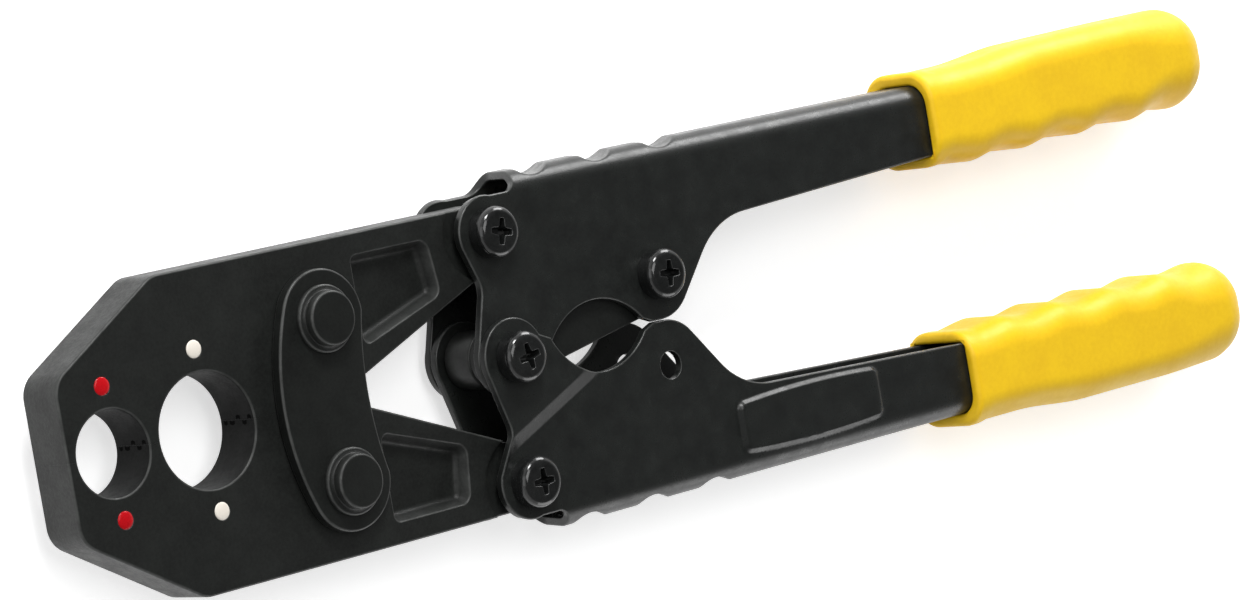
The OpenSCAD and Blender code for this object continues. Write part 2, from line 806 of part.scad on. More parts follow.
// A pan-head screw with a cross recess, its head seated at a height
module pan_screw(at, thread_d, seat_z) {
    head_r = screw_head_d / 2;
    edge_r = 1.6;
    color(screw_steel)
        translate([at[0], at[1], seat_z])
            difference() {
                union() {
                    translate([0, 0, -thread_len]) cylinder(d = thread_d, h = thread_len + cut);
                    rotate_extrude()
                        polygon(concat(
                            [[0, 0], [head_r, 0]],
                            arc([head_r - edge_r, screw_head_h - edge_r], edge_r, 0, 90),
                            [[0, screw_head_h]]
                        ));
                }
                for (turn = [20, 110])
                    rotate([0, 0, turn])
                        translate([-recess_w / 2, -recess_slot / 2, screw_head_h - recess_depth])
                            cube([recess_w, recess_slot, recess_depth + cut]);
            }
}

// A tube round a barrel, between two heights
module sleeve(at, outer_d, inner_d, z1, z2) {
    color(steel)
        difference() {
            drill(at, outer_d / 2, z1, z2);
            drill(at, inner_d / 2 + running_gap, z1 - cut, z2 + cut);
        }
}

module centre_barrel() {
    barrel([pivot_x, 0], barrel_d, screw_d, -centre_seat, centre_seat);
}

module centre_screw() {
    pan_screw([pivot_x, 0], screw_d, centre_seat);
}

module centre_spacer() {
    sleeve([pivot_x, 0], spacer_d, barrel_d, nest_gap - cheek_z, stop_plate_z);
}

module upper_link_barrel() {
    barrel([pivot_x, link_y], barrel_d, screw_d, -cheek_top, cheek_top);
}

module upper_link_screw() {
    pan_screw([pivot_x, link_y], screw_d, cheek_top);
}

module lower_link_barrel() {
    barrel([pivot_x, -link_y], barrel_d, screw_d, -cheek_top, cheek_top);
}

module lower_link_screw() {
    pan_screw([pivot_x, -link_y], screw_d, cheek_top);
}

module stop_barrel() {
    barrel([stop_x, stop_y], stop_barrel_d, stop_screw_d, -cheek_top, cheek_top);
}

module stop_screw() {
    pan_screw([stop_x, stop_y], stop_screw_d, cheek_top);
}

module stop_spacer() {
    sleeve([stop_x, stop_y], stop_spacer_d, stop_barrel_d, nest_gap - cheek_z, stop_plate_z);
}

// The plate behind the upper handle's front cheek, from the centre pivot to the stop screw
module stop_plate() {
    front = [pivot_x, 0];
    back = [stop_x, stop_y];
    color(steel)
        difference() {
            translate([0, 0, stop_plate_z])
                linear_extrude(stop_plate_t)
                    polygon(strap_outline(front, stop_plate_front_r, back, stop_plate_back_r));
            drill(front, barrel_d / 2 + running_gap, 0, cheek_z);
            drill(back, stop_barrel_d / 2 + running_gap, 0, cheek_z);
        }
}

module upper_red_mark() {
    color(mark_red) paint(-die_pitch, small_mark_y());
}

module lower_red_mark() {
    color(mark_red) paint(-die_pitch, -small_mark_y());
}

module upper_white_mark() {
    color(mark_white) paint(0, large_mark_y());
}

module lower_white_mark() {
    color(mark_white) paint(0, -large_mark_y());
}

upper_jaw();
lower_jaw();
front_side_plate();
rear_side_plate();
upper_jaw_pin();
lower_jaw_pin();
upper_handle();
lower_handle();
upper_grip();
lower_grip();
centre_barrel();
centre_screw();
centre_spacer();
upper_link_barrel();
upper_link_screw();
lower_link_barrel();
lower_link_screw();
stop_barrel();
stop_screw();
stop_spacer();
stop_plate();
upper_red_mark();
lower_red_mark();
upper_white_mark();
lower_white_mark();
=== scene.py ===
"""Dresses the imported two-handled crimp tool: its meshes, finishes, floor, lights and camera.

Sizes are in millimetres, in the frame of the CAD: X runs from the nose to the grips, Y across
the tool and Z through its thickness. Every mesh is built in metres.
"""
import logging
import math
from collections.abc import Callable, Sequence
from dataclasses import dataclass, field
from enum import Enum

import bpy
import numpy as np
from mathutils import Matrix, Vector, geometry


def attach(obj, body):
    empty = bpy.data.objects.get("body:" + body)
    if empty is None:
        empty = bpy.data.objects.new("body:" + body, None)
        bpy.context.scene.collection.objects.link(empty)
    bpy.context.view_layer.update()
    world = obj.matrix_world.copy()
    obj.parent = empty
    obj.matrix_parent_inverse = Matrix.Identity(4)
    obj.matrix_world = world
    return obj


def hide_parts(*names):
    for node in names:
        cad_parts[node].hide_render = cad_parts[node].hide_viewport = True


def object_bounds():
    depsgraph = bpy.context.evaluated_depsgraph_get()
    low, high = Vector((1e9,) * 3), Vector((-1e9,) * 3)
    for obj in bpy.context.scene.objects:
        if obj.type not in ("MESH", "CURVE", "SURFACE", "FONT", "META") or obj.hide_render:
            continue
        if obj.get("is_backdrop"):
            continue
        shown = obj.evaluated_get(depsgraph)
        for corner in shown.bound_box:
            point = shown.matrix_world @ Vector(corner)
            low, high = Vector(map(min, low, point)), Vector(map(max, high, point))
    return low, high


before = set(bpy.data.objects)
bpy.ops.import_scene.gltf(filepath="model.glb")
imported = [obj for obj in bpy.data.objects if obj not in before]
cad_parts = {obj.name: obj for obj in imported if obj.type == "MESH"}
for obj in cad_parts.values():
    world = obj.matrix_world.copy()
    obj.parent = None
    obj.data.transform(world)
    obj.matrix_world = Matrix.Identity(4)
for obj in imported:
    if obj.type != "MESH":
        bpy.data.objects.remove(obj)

log = logging.getLogger("crimp_tool")

MM = 0.001
EDGE_WEAR_AND_GLINT = "edge"
FLOAT_SOCKET = "NodeSocketFloat"
QUARTER = math.pi / 2

Array = np.ndarray
Point = Sequence[float]
Pair = tuple[float, float]
Triple = tuple[float, float, float]
Rows = tuple[Array, list[list[int]]]
Piece = bpy.types.Object
Socket = bpy.types.NodeSocket
Sockets = bpy.types.bpy_prop_collection

NO_POINTS = np.zeros((0, 2))


class Side(Enum):
    """The half of the tool that a piece belongs to. The lower half is the upper one turned over."""

    UPPER = 1
    LOWER = -1

    @property
    def word(self) -> str:
        """The half's name, as the pieces spell it."""
        return self.name.lower()

    def turn(self, points: Array) -> Array:
        """Turns points built for the upper half over into this half."""
        return points * np.array([1.0, self.value, self.value])


# ---------------- outlines in mm


def arc(centre: Point, radius: float, start: float, end: float, steps: int = 24) -> Array:
    """Makes the points of an arc.

    Args:
        centre: The arc's centre.
        radius: Its radius.
        start: Angle of the first point, in degrees.
        end: Angle of the last point, in degrees.
        steps: Number of segments.

    Returns:
        One point a row.
    """
    angles = np.radians(np.linspace(start, end, steps + 1))
    return np.column_stack([centre[0] + radius * np.cos(angles), centre[1] + radius * np.sin(angles)])


def circle(centre: Point, radius: float, steps: int = 72) -> Array:
    """Makes the points of a whole circle, counter-clockwise."""
    return arc(centre, radius, 0, 360, steps)[:-1]


def bored(centre: Point, radius: float, steps: int = 72) -> Array:
    """Makes the edge of a round hole."""
    return closed(circle(centre, radius, steps), hole=True)


def fillet(before: Point, corner: Point, after: Point, radius: float, steps: int = 8) -> Array:
    """Rounds one corner of a path.

    Args:
        before: The path's point before the corner.
        corner: The corner.
        after: The path's point after it.
        radius: The radius of the rounding.
        steps: Number of segments.

    Returns:
        The points that stand for the corner.
    """
    at = np.array(corner, float)
    if radius <= 0:
        return at[None, :]
    u, v = unit(np.array([before, after], float) - at)
    half = math.acos(max(-1.0, min(1.0, float(u @ v)))) / 2
    middle = (u + v) / np.linalg.norm(u + v)
    centre = at + middle * radius / math.sin(half)
    first, last = (at + way * radius / math.tan(half) - centre for way in (u, v))
    start = math.degrees(math.atan2(first[1], first[0]))
    turn = (math.degrees(math.atan2(last[1], last[0])) - start + 540) % 360 - 180
    return arc(centre, radius, start, start + turn, steps)


def rounded(corners: Sequence[Point], steps: int = 8) -> Array:
    """Makes a closed outline with rounded corners.

    Args:
        corners: The x, y and radius of each corner.
        steps: Number of segments of a corner.

    Returns:
        One point a row.
    """
    triples = zip([corners[-1], *corners], corners, [*corners[1:], corners[0]])
    return np.vstack([fillet(a[:2], b[:2], c[:2], b[2], steps) for a, b, c in triples])


def unit(rows: Array) -> Array:
    """Scales each row to a length of 1."""
    return rows / np.linalg.norm(rows, axis=1)[:, None]


def lifted(points: Array, height: float) -> Array:
    """Adds a last column to points, such as their height."""
    return np.column_stack([points, np.full(len(points), height)])


def closed(points: Array, hole: bool = False) -> Array:
    """Drops doubled points and turns a loop so that the material is on its left.

    Args:
        points: The loop's points.
        hole: Whether the loop is a hole's edge.

    Returns:
        The loop.
    """
    loop = points[np.linalg.norm(points - np.roll(points, 1, axis=0), axis=1) > 1e-3]
    ahead = np.roll(loop, -1, axis=0)
    area = float((loop[:, 0] * ahead[:, 1] - loop[:, 1] * ahead[:, 0]).sum())
    return loop[::-1].copy() if (area > 0) == hole else loop


def inset(loop: Array, amount: float, weights: Array | None, seam: float | None) -> Array:
    """Moves a loop into the material on its left.

    Args:
        loop: The loop.
        amount: How far it moves.
        weights: A share of the amount for each point.
        seam: The y of a straight edge that meets another piece. Its points only slide along it.

    Returns:
        The moved loop.
    """
    ways = unit(loop - np.roll(loop, 1, axis=0)), unit(np.roll(loop, -1, axis=0) - loop)
    left_in, left_out = (np.column_stack([-way[:, 1], way[:, 0]]) for way in ways)
    move = unit(left_in + left_out)
    move /= np.maximum(0.5, (move * left_in).sum(axis=1))[:, None]
    if seam is not None:
        on = np.abs(loop[:, 1] - seam) < 1e-4
        leaves = np.where((on & np.roll(on, -1))[:, None], left_in, left_out)
        move[on] = np.column_stack([np.sign(leaves[on, 0]), np.zeros(on.sum())])
        move[on & np.roll(on, 1) & np.roll(on, -1)] = 0
    share = 1.0 if weights is None else weights[:, None]
    return loop + move * amount * share


def inside(loops: Sequence[Array], points: Array) -> Array:
    """Tells which points lie in an odd number of loops.

    Args:
        loops: The loops.
        points: One point a row.

    Returns:
        A flag for each point.
    """
    odd = np.zeros(len(points), bool)
    for loop in loops:
        for (x1, y1), (x2, y2) in zip(loop, np.roll(loop, -1, axis=0)):
            if y1 != y2:
                crosses = (y1 > points[:, 1]) != (y2 > points[:, 1])
                odd ^= crosses & (points[:, 0] < x1 + (points[:, 1] - y1) * (x2 - x1) / (y2 - y1))
    return odd


def settle(rows: Sequence[Array], loops: Sequence[Array], gap: float, lined: int) -> Rows:
    """Keeps the points of rows that lie inside loops and clear of the loops' own points.

    Args:
        rows: The rows of points.
        loops: The outer loop and the holes' loops.
        gap: The least distance from a loop's points.
        lined: How many of the first rows triangle edges follow.

    Returns:
        The kept points, and the rows to follow, by their indices.
    """
    kept, lines, start = [], [], 0
    for number, row in enumerate(rows):
        good = inside(loops, row)
        for loop in loops:
            good &= np.array([np.min(np.hypot(*(loop - p).T)) for p in row]) > gap
        kept.append(row[good])
        end = start + len(kept[-1])
        if number < lined:
            lines.append(list(range(start, end)))
        start = end
    return np.vstack(kept), lines


def fill(loops: Sequence[Array], extra: Array, lines: Sequence[Sequence[int]] = ()) -> list[list[int]]:
    """Fills the area between loops with triangles.

    Args:
        loops: The outer loop and the loops of the holes.
        extra: Points inside the area that the triangles run through.
        lines: Rows of extra points, by their indices, that triangle edges follow.

    Returns:
        Triangles, counter-clockwise, by indices into all the loops' points and then the extra ones.
    """
    edges, start = [], 0
    for loop in loops:
        edges += [(start + i, start + (i + 1) % len(loop)) for i in range(len(loop))]
        start += len(loop)
    for line in lines:
        edges += [(start + a, start + b) for a, b in zip(line, line[1:])]
    points = [Vector(p) for p in np.vstack([*loops, extra])]
    made, _, faces, sources, _, _ = geometry.delaunay_2d_cdt(points, edges, [], 0, 1e-6)
    made = np.array([tuple(p) for p in made])
    corners = np.array([list(f) for f in faces])
    corners = corners[inside(loops, made[corners].mean(axis=1))]
    return [[sources[i][0] for i in f] for f in corners.tolist() if all(sources[i] for i in f)]


def ease(share: Array, soft: float) -> Array:
    """Goes straight from 0 to 1 with its two corners rounded off.

    Args:
        share: The way through, 0 at the start and 1 at the end.
        soft: How much of the way the rounding takes at each corner.

    Returns:
        The eased share.
    """
    start, end = (np.where(v < -soft, 0, np.where(v > soft, v, (v + soft) ** 2 / (4 * soft)))
                  for v in (share, share - 1))
    return start - end


def smooth(share: float) -> float:
    """Smoothstep of a share, clamped to 0 and 1."""
    t = min(1.0, max(0.0, share))
    return t * t * (3 - 2 * t)


# ---------------- meshes


@dataclass(frozen=True)
class Ring:
    """One ring of a wall: its height, how far it moves into the material, and how worn its edge is, which
    also paints a glint of light on it.
    """

    height: float
    inset: float
    wear_and_glint: float = 0.0


def eased(top: float, bottom: float, radius: float, steps: int = 4) -> list[Ring]:
    """Makes the rings of a straight wall whose two edges are rounded.

    Args:
        top: The wall's upper height.
        bottom: Its lower height.
        radius: The radius of both edges.
        steps: Number of segments of an edge.

    Returns:
        The rings, from top to bottom.
    """
    upper = [Ring(top - radius * (1 - math.cos(a)), radius * (1 - math.sin(a)), math.sin(2 * a))
             for a in np.linspace(0, QUARTER, steps + 1)]
    return upper + [Ring(top + bottom - r.height, r.inset, r.wear_and_glint) for r in reversed(upper)]


@dataclass
class Wall:
    """One closed edge of a plate. Its rings run from the face that it starts at."""

    loop: Array
    rings: list[Ring]
    weights: Array | None = None
    seam: float | None = None
    blind: bool = False
    from_below: bool = False
    shape: Callable[[float], Array] | None = None

    def at(self, ring: Ring) -> Array:
        """The wall's loop at one ring."""
        sink = self.shape or (lambda amount: inset(self.loop, amount, self.weights, self.seam))
        return sink(ring.inset)


def through(holes: Sequence[Array], top: float, bottom: float, edge: float, steps: int = 2) -> list[Wall]:
    """Makes the walls of holes that run through a plate.

    Args:
        holes: The holes' loops.
        top: The plate's upper face.
        bottom: Its lower face.
        edge: The radius of the holes' edges.
        steps: Number of segments of an edge.

    Returns:
        The walls.
    """
    return [Wall(hole, eased(top, bottom, edge, steps)) for hole in holes]


class Shell:
    """Collects the points, faces and the worn edges, with their painted glint, of one mesh."""

    def __init__(self, place: Callable[[Array], Array] | None = None) -> None:
        """Starts an empty mesh.

        Args:
            place: Where a point built in the mesh's own frame goes in the tool's frame.
        """
        self.place = place
        self.points: list[Array] = []
        self.wear_and_glint: list[float] = []
        self.faces: list[list[int]] = []

    def add(self, points: Array, wear_and_glint: float = 0.0) -> Array:
        """Adds points.

        Args:
            points: One point a row, in mm.
            wear_and_glint: How worn their edge is, and so how much painted glint it carries, from 0 to 1.

        Returns:
            Their indices.
        """
        start = len(self.wear_and_glint)
        self.points.append(points)
        self.wear_and_glint += [wear_and_glint] * len(points)
        return np.arange(start, len(self.wear_and_glint))

    def bridge(self, upper: Array, lower: Array, flip: bool = False) -> None:
        """Joins two rings of as many points with quads."""
        for a, b, c, d in zip(upper, lower, np.roll(lower, -1), np.roll(upper, -1)):
            self.faces.append([int(i) for i in ((d, c, b, a) if flip else (a, b, c, d))])

    def fan(self, tip: int, ring: Array, flip: bool = False) -> None:
        """Closes a ring with triangles to one point."""
        for a, b in zip(ring, np.roll(ring, -1)):
            self.faces.append([int(tip), int(b), int(a)] if flip else [int(tip), int(a), int(b)])

    def cap(self, edges: Sequence[tuple[Array, Array]], height: float, up: bool,
            extra: Array = NO_POINTS, lines: Sequence[Sequence[int]] = ()) -> None:
        """Closes a face between rings.

        Args:
            edges: Each ring's outline and its indices in the mesh.
            height: The face's height.
            up: Whether the face looks up.
            extra: Points in the face.
            lines: Rows of the extra points that edges follow.
        """
        index = np.concatenate([*(ring for _, ring in edges), self.add(lifted(extra, height))])
        for face in fill([loop for loop, _ in edges], extra, lines):
            corners = [int(index[i]) for i in face]
            self.faces.append(corners if up else corners[::-1])

    def plate(self, walls: Sequence[Wall], extra: Array = NO_POINTS,
              lines: Sequence[Sequence[int]] = ()) -> None:
        """Builds a plate from its edges. The first wall is the outer one and runs to both faces.

        Args:
            walls: The outer edge, the holes and the blind pockets.
            extra: Points in both faces.
            lines: Rows of these points that edges follow.
        """
        top, bottom = [], []
        for wall in walls:
            loops = [wall.at(ring) for ring in wall.rings]
            edges = [(loop, self.add(lifted(loop, ring.height), ring.wear_and_glint))
                     for loop, ring in zip(loops, wall.rings)]
            for (_, a), (_, b) in zip(edges, edges[1:]):
                self.bridge(a, b, flip=wall.from_below)
            (bottom if wall.from_below else top).append(edges[0])
            if wall.blind:
                self.cap(edges[-1:], wall.rings[-1].height, not wall.from_below)
            else:
                bottom.append(edges[-1])
        self.cap(top, walls[0].rings[0].height, True, extra, lines)
        self.cap(bottom, walls[0].rings[-1].height, False, extra, lines)

    def lathe(self, profile: Sequence[Point], steps: int = 72, ring: bool = False) -> None:
        """Turns a profile round the Z axis.

        Args:
            profile: Radius, height and edge value, for worn edges with a painted glint, of each point. The
                outside is on the left, going on.
            steps: Number of segments round the axis.
            ring: Whether the profile is closed and doesn't meet the axis.
        """
        angles = np.linspace(0, 2 * math.pi, steps, endpoint=False)
        around = np.column_stack([np.cos(angles), np.sin(angles)])
        rows = [self.add(lifted(radius * (around if radius > 0 else around[:1]), height), wear_and_glint)
                for radius, height, wear_and_glint in profile]
        for a, b in zip(rows, rows[1:] + rows[:1] if ring else rows[1:]):
            if len(a) == 1:
                self.fan(a[0], b)
            elif len(b) == 1:
                self.fan(b[0], a, flip=True)
            else:
                self.bridge(a, b)

    def object(self, name: str, sharp: float = 40.0) -> Piece:
        """Makes the Blender object, without the points that no face uses.

        Args:
            name: The piece's name.
            sharp: Angle in degrees over which an edge is shaded sharp.

        Returns:
            The object, linked to the scene.
        """
        points = np.vstack(self.points)
        if self.place is not None:
            points = self.place(points)
        used = np.unique([i for face in self.faces for i in face])
        index = np.zeros(len(points), int)
        index[used] = np.arange(len(used))
        mesh = bpy.data.meshes.new(name)
        mesh.from_pydata((points[used] * MM).tolist(), [], [index[face].tolist() for face in self.faces])
        # The edge value lightens edges in the finish: partly worn steel, partly a painted glint of light
        # along them.
        wear_and_glint = mesh.attributes.new(EDGE_WEAR_AND_GLINT, "FLOAT", "POINT")
        wear_and_glint.data.foreach_set("value", np.array(self.wear_and_glint, np.float32)[used])
        mesh.validate()
        mesh.shade_smooth()
        mesh.set_sharp_from_angle(angle=math.radians(sharp))
        made = link(name, mesh)
        made.modifiers.new("flat_faces", "WEIGHTED_NORMAL").keep_sharp = True
        return made


def link(name: str, data: bpy.types.ID) -> Piece:
    """Makes an object and links it to the scene.

    Args:
        name: The object's name.
        data: Its mesh, lamp or camera.

    Returns:
        The object.
    """
    made = bpy.data.objects.new(name, data)
    bpy.context.scene.collection.objects.link(made)
    return made


def turned(name: str, at: Point, profile: Sequence[Point], steps: int, sharp: float,
           ring: bool = False) -> Piece:
    """Builds a piece that is round about an axis along Z.

    Args:
        name: The piece's name.
        at: Its place.
        profile: Radius, height and edge value, for worn edges with a painted glint, of each point.
        steps: Number of segments round the axis.
        sharp: Angle in degrees over which an edge is shaded sharp.
        ring: Whether the profile is closed and doesn't meet the axis.

    Returns:
        The piece.
    """
    shell = Shell(lambda points: points + np.array(at))
    shell.lathe(profile, steps, ring)
    return shell.object(name, sharp)


# ---------------- finishes


class Tree:
    """A short way to write a node tree."""

    def __init__(self, tree: bpy.types.NodeTree) -> None:
        """Takes the tree to write in."""
        self.tree = tree

    @classmethod
    def of(cls, owner: bpy.types.Material | bpy.types.World) -> "Tree":
        """Empties the node tree of a material or a world and takes it.

        Args:
            owner: The material or the world.

        Returns:
            The tree's writer.
        """
        owner.use_nodes = True
        owner.node_tree.nodes.clear()
        return cls(owner.node_tree)

    def feed(self, socket: Socket, value: Socket | float | Sequence[float]) -> None:
        """Gives an input a link or a value of its own.

        Args:
            socket: The input.
            value: An output to link, or the value.
        """
        if isinstance(value, Socket):
            self.tree.links.new(value, socket)
        else:
            socket.default_value = value

    def node(self, kind: str, inputs: dict | None = None, **settings: object) -> bpy.types.Node:
        """Adds a node.

        Args:
            kind: The node's type.
            inputs: Values or output sockets for its inputs, by name or number.
            settings: The node's own properties.

        Returns:
            The node.
        """
        made = self.tree.nodes.new(kind)
        for name, value in settings.items():
            setattr(made, name, value)
        for name, value in (inputs or {}).items():
            self.feed(made.inputs[name], value)
        return made

    def math(self, operation: str, *values: Socket | float, clamp: bool = False) -> Socket:
        """Adds a Math node and gives its output."""
        inputs = dict(enumerate(values))
        return self.node("ShaderNodeMath", inputs, operation=operation, use_clamp=clamp).outputs[0]

    def ramp(self, value: Socket, low: float, high: float, to_low: float = 0.0,
             to_high: float = 1.0) -> Socket:
        """Adds a smooth Map Range node and gives its output."""
        inputs = {0: value, 1: low, 2: high, 3: to_low, 4: to_high}
        return self.node("ShaderNodeMapRange", inputs, interpolation_type="SMOOTHSTEP").outputs[0]

    def noise(self, place: Socket, scale: Socket | float, detail: float, rough: float) -> Socket:
        """Adds a Noise Texture and gives its value."""
        inputs = {"Vector": place, "Scale": scale, "Detail": detail, "Roughness": rough}
        return self.node("ShaderNodeTexNoise", inputs).outputs["Fac"]

    def blend(self, share: Socket, first: Socket | Point, second: Socket | Point) -> Socket:
        """Adds a colour Mix node and gives its result."""
        return self.node("ShaderNodeMix", {0: share, 6: first, 7: second}, data_type="RGBA").outputs[2]


def shared_group(name: str, inputs: dict[str, float],
                 outputs: Sequence[str]) -> tuple[Tree, Sockets, Sockets]:
    """Starts a shader node group that takes a place and some numbers.

    Args:
        name: The group's name.
        inputs: The numbers' defaults, by name.
        outputs: The names of its outputs, all numbers.

    Returns:
        The group's writer, the sockets that it is given, and those that it gives on.
    """
    group = bpy.data.node_groups.new(name, "ShaderNodeTree")
    group.interface.new_socket("Place", in_out="INPUT", socket_type="NodeSocketVector")
    for label, default in inputs.items():
        socket = group.interface.new_socket(label, in_out="INPUT", socket_type=FLOAT_SOCKET)
        socket.default_value = default
    for label in outputs:
        group.interface.new_socket(label, in_out="OUTPUT", socket_type=FLOAT_SOCKET)
    tree = Tree(group)
    return tree, tree.node("NodeGroupInput").outputs, tree.node("NodeGroupOutput").inputs


def rubbed_and_glinting_edges() -> bpy.types.NodeTree:
    """Makes the group for worn edges that also carry a painted glint of light: the mesh's edge value,
    broken up by noise.

    Returns:
        The group.
    """
    tree, given, gives = shared_group(
        "rubbed_and_glinting_edges", {"Edge": 0.0, "Scale": 200.0, "Amount": 0.5}, ["Mask"])
    patches = tree.ramp(tree.noise(given["Place"], given["Scale"], 4.0, 0.6), 0.3, 0.7, 0.35, 1.0)
    worn = tree.math("MULTIPLY", given["Edge"], patches)
    tree.feed(gives["Mask"], tree.math("MULTIPLY", worn, given["Amount"], clamp=True))
    return tree.tree


def surface_grain() -> bpy.types.NodeTree:
    """Makes the group for the fine surface of cast, painted or moulded stuff: a height and a tone.

    Returns:
        The group.
    """
    tree, given, gives = shared_group("surface_grain", {"Scale": 1000.0, "Coarse": 0.4}, ["Height", "Tone"])
    fine = tree.noise(given["Place"], given["Scale"], 5.0, 0.62)
    broad = tree.noise(given["Place"], tree.math("MULTIPLY", given["Scale"], 0.14), 3.0, 0.5)
    mean = tree.math("MULTIPLY", tree.math("ADD", fine, broad), 0.5)
    tree.feed(gives["Height"], tree.math("MULTIPLY_ADD", broad, given["Coarse"], fine))
    tree.feed(gives["Tone"], tree.ramp(mean, 0.3, 0.7))
    return tree.tree


def handling_film() -> bpy.types.NodeTree:
    """Makes the group for broad, faint patches of handling marks and dust.

    Returns:
        The group.
    """
    tree, given, gives = shared_group("handling_film", {"Scale": 40.0, "Amount": 0.3}, ["Mask"])
    patches = tree.ramp(tree.noise(given["Place"], given["Scale"], 6.0, 0.65), 0.42, 0.75)
    tree.feed(gives["Mask"], tree.math("MULTIPLY", patches, given["Amount"]))
    return tree.tree


@dataclass(frozen=True)
class Effects:
    """The effects that the finishes share, each a node group that is made once."""

    wear_and_glint: bpy.types.NodeTree = field(default_factory=rubbed_and_glinting_edges)
    grain: bpy.types.NodeTree = field(default_factory=surface_grain)
    film: bpy.types.NodeTree = field(default_factory=handling_film)


@dataclass(frozen=True)
class Finish:
    """One finish of the tool. Its colour runs to the shade in the grain and goes to a lighter colour at
    edges, for worn edges and a painted glint of light on them.
    """

    name: str
    slot: str
    colour: Triple
    shade: Triple
    rubbed_and_glint: Triple
    roughness: float
    gloss: float
    grain: float
    depth: float
    strength: float = 0.3
    wear_and_glint: float = 0.0
    film: float = 0.02
    coat: float = 0.0
    coat_rough: float = 0.12
    rough_spread: float = 0.12

    def material(self, effects: Effects) -> bpy.types.Material:
        """Gives the finish's material, and makes it the first time.

        Args:
            effects: The shared node groups.

        Returns:
            The material.
        """
        found = bpy.data.materials.get(self.name)
        if found is not None:
            return found
        made = bpy.data.materials.new(self.name)
        tree = Tree.of(made)
        place = tree.node("ShaderNodeTexCoord").outputs["Object"]
        # The mesh's edge value marks worn edges and also paints a glint of light on them.
        edge = tree.node("ShaderNodeAttribute", attribute_name=EDGE_WEAR_AND_GLINT).outputs["Fac"]
        grain, wear_and_glint, film = (
            tree.node("ShaderNodeGroup", {"Place": place, **inputs}, node_tree=group).outputs
            for group, inputs in ((effects.grain, {"Scale": self.grain}),
                                  (effects.wear_and_glint, {"Edge": edge, "Amount": self.wear_and_glint}),
                                  (effects.film, {"Amount": self.film})))
        # Edges and film patches go to this lighter colour; at edges it is partly bare steel, partly a
        # painted highlight.
        rubbed_and_glint = (*self.rubbed_and_glint, 1.0)
        tone = tree.blend(grain["Tone"], (*self.shade, 1.0), (*self.colour, 1.0))
        base = tree.blend(wear_and_glint["Mask"], tree.blend(film["Mask"], tone, rubbed_and_glint), rubbed_and_glint)
        spread = self.rough_spread / 2
        rough = tree.ramp(grain["Tone"], 0.0, 1.0, self.roughness + spread, self.roughness - spread)
        bump = tree.node("ShaderNodeBump", {
            "Height": grain["Height"], "Strength": self.strength, "Distance": self.depth * MM})
        shader = tree.node("ShaderNodeBsdfPrincipled", {
            "Base Color": base, "Roughness": rough, "Specular IOR Level": self.gloss,
            "Coat Weight": self.coat, "Coat Roughness": self.coat_rough, "Normal": bump.outputs["Normal"]})
        tree.node("ShaderNodeOutputMaterial", {"Surface": shader.outputs[0]})
        return made


# The third colour of each finish is that of its worn edges, which also paints a glint of light on them.
BLACK_STEEL = Finish(
    "black_cast_steel", "black_steel", (0.0132, 0.0146, 0.0134), (0.0036, 0.0041, 0.0037),
    (0.15, 0.155, 0.15), 0.44, gloss=0.26, grain=1300.0, depth=0.08, strength=0.7, wear_and_glint=0.35)
BLACK_PLATE = Finish(
    "black_plate_steel", "black_steel", (0.0112, 0.0124, 0.0114), (0.0034, 0.0039, 0.0035),
    (0.16, 0.165, 0.16), 0.38, gloss=0.26, grain=1500.0, depth=0.05, strength=0.5, wear_and_glint=0.38)
# A darker, duller copy of the black steel: painted shade for the inner walls of the dies.
DIE_WALL_PAINTED_SHADE = Finish(
    "die_wall_painted_shade", "black_steel", (0.0085, 0.009, 0.0088), (0.005, 0.0054, 0.0052),
    (0.09, 0.092, 0.09), 0.5, gloss=0.08, grain=1500.0, depth=0.04, strength=0.5, wear_and_glint=0.3)
DARK_MARK = Finish(
    "die_dark_score", "black_steel", (0.0012, 0.0012, 0.0012), (0.0008, 0.0008, 0.0008),
    (0.01, 0.01, 0.01), 0.8, gloss=0.05, grain=1500.0, depth=0.01, film=0.0)
HANDLE_PAINT = Finish(
    "handle_satin_black", "handle_black", (0.0165, 0.0182, 0.017), (0.0042, 0.0048, 0.0045),
    (0.16, 0.165, 0.16), 0.32, gloss=0.32, grain=1500.0, depth=0.03, strength=0.4, wear_and_glint=0.3)
SCREW_BLACK = Finish(
    "screw_gloss_black", "screw_steel", (0.0115, 0.0122, 0.012), (0.0045, 0.0049, 0.0049),
    (0.15, 0.15, 0.15), 0.14, gloss=0.45, grain=1500.0, depth=0.01, strength=0.2, wear_and_glint=0.15,
    rough_spread=0.06)
GRIP_VINYL = Finish(
    "grip_yellow_vinyl", "grip_yellow", (0.87, 0.56, 0.014), (0.8, 0.49, 0.011),
    (0.74, 0.46, 0.02), 0.42, gloss=0.25, grain=700.0, depth=0.03, strength=0.25, film=0.05)
RED_PAINT = Finish(
    "mark_red_enamel", "mark_red", (0.5, 0.006, 0.01), (0.4, 0.004, 0.008),
    (0.4, 0.01, 0.012), 0.2, gloss=0.2, grain=900.0, depth=0.02, film=0.05)
WHITE_PAINT = Finish(
    "mark_white_enamel", "mark_white", (0.82, 0.78, 0.7), (0.76, 0.7, 0.62),
    (0.6, 0.55, 0.5), 0.3, gloss=0.5, grain=900.0, depth=0.02, film=0.1, coat=0.2)


@dataclass
class Workshop:
    """Finishes pieces and puts each on its body."""

    effects: Effects = field(default_factory=Effects)
    made: int = 0

    def fit(self, piece: Piece, body: str, finish: Finish, *nodes: str) -> Piece:
        """Dresses a piece, lets it ride on a body and reports it.

        Args:
            piece: The piece.
            body: The body's name.
            finish: Its finish.
            nodes: The CAD nodes that it stands for.

        Returns:
            The piece.
        """
        piece.data.materials.clear()
        piece.data.materials.append(finish.material(self.effects))
        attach(piece, body)
        if nodes:
            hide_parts(*nodes)
        self.made += 1
        log.info("%s rides on %s in %s", piece.name, body, finish.name)
        return piece


# ---------------- the tool's sizes


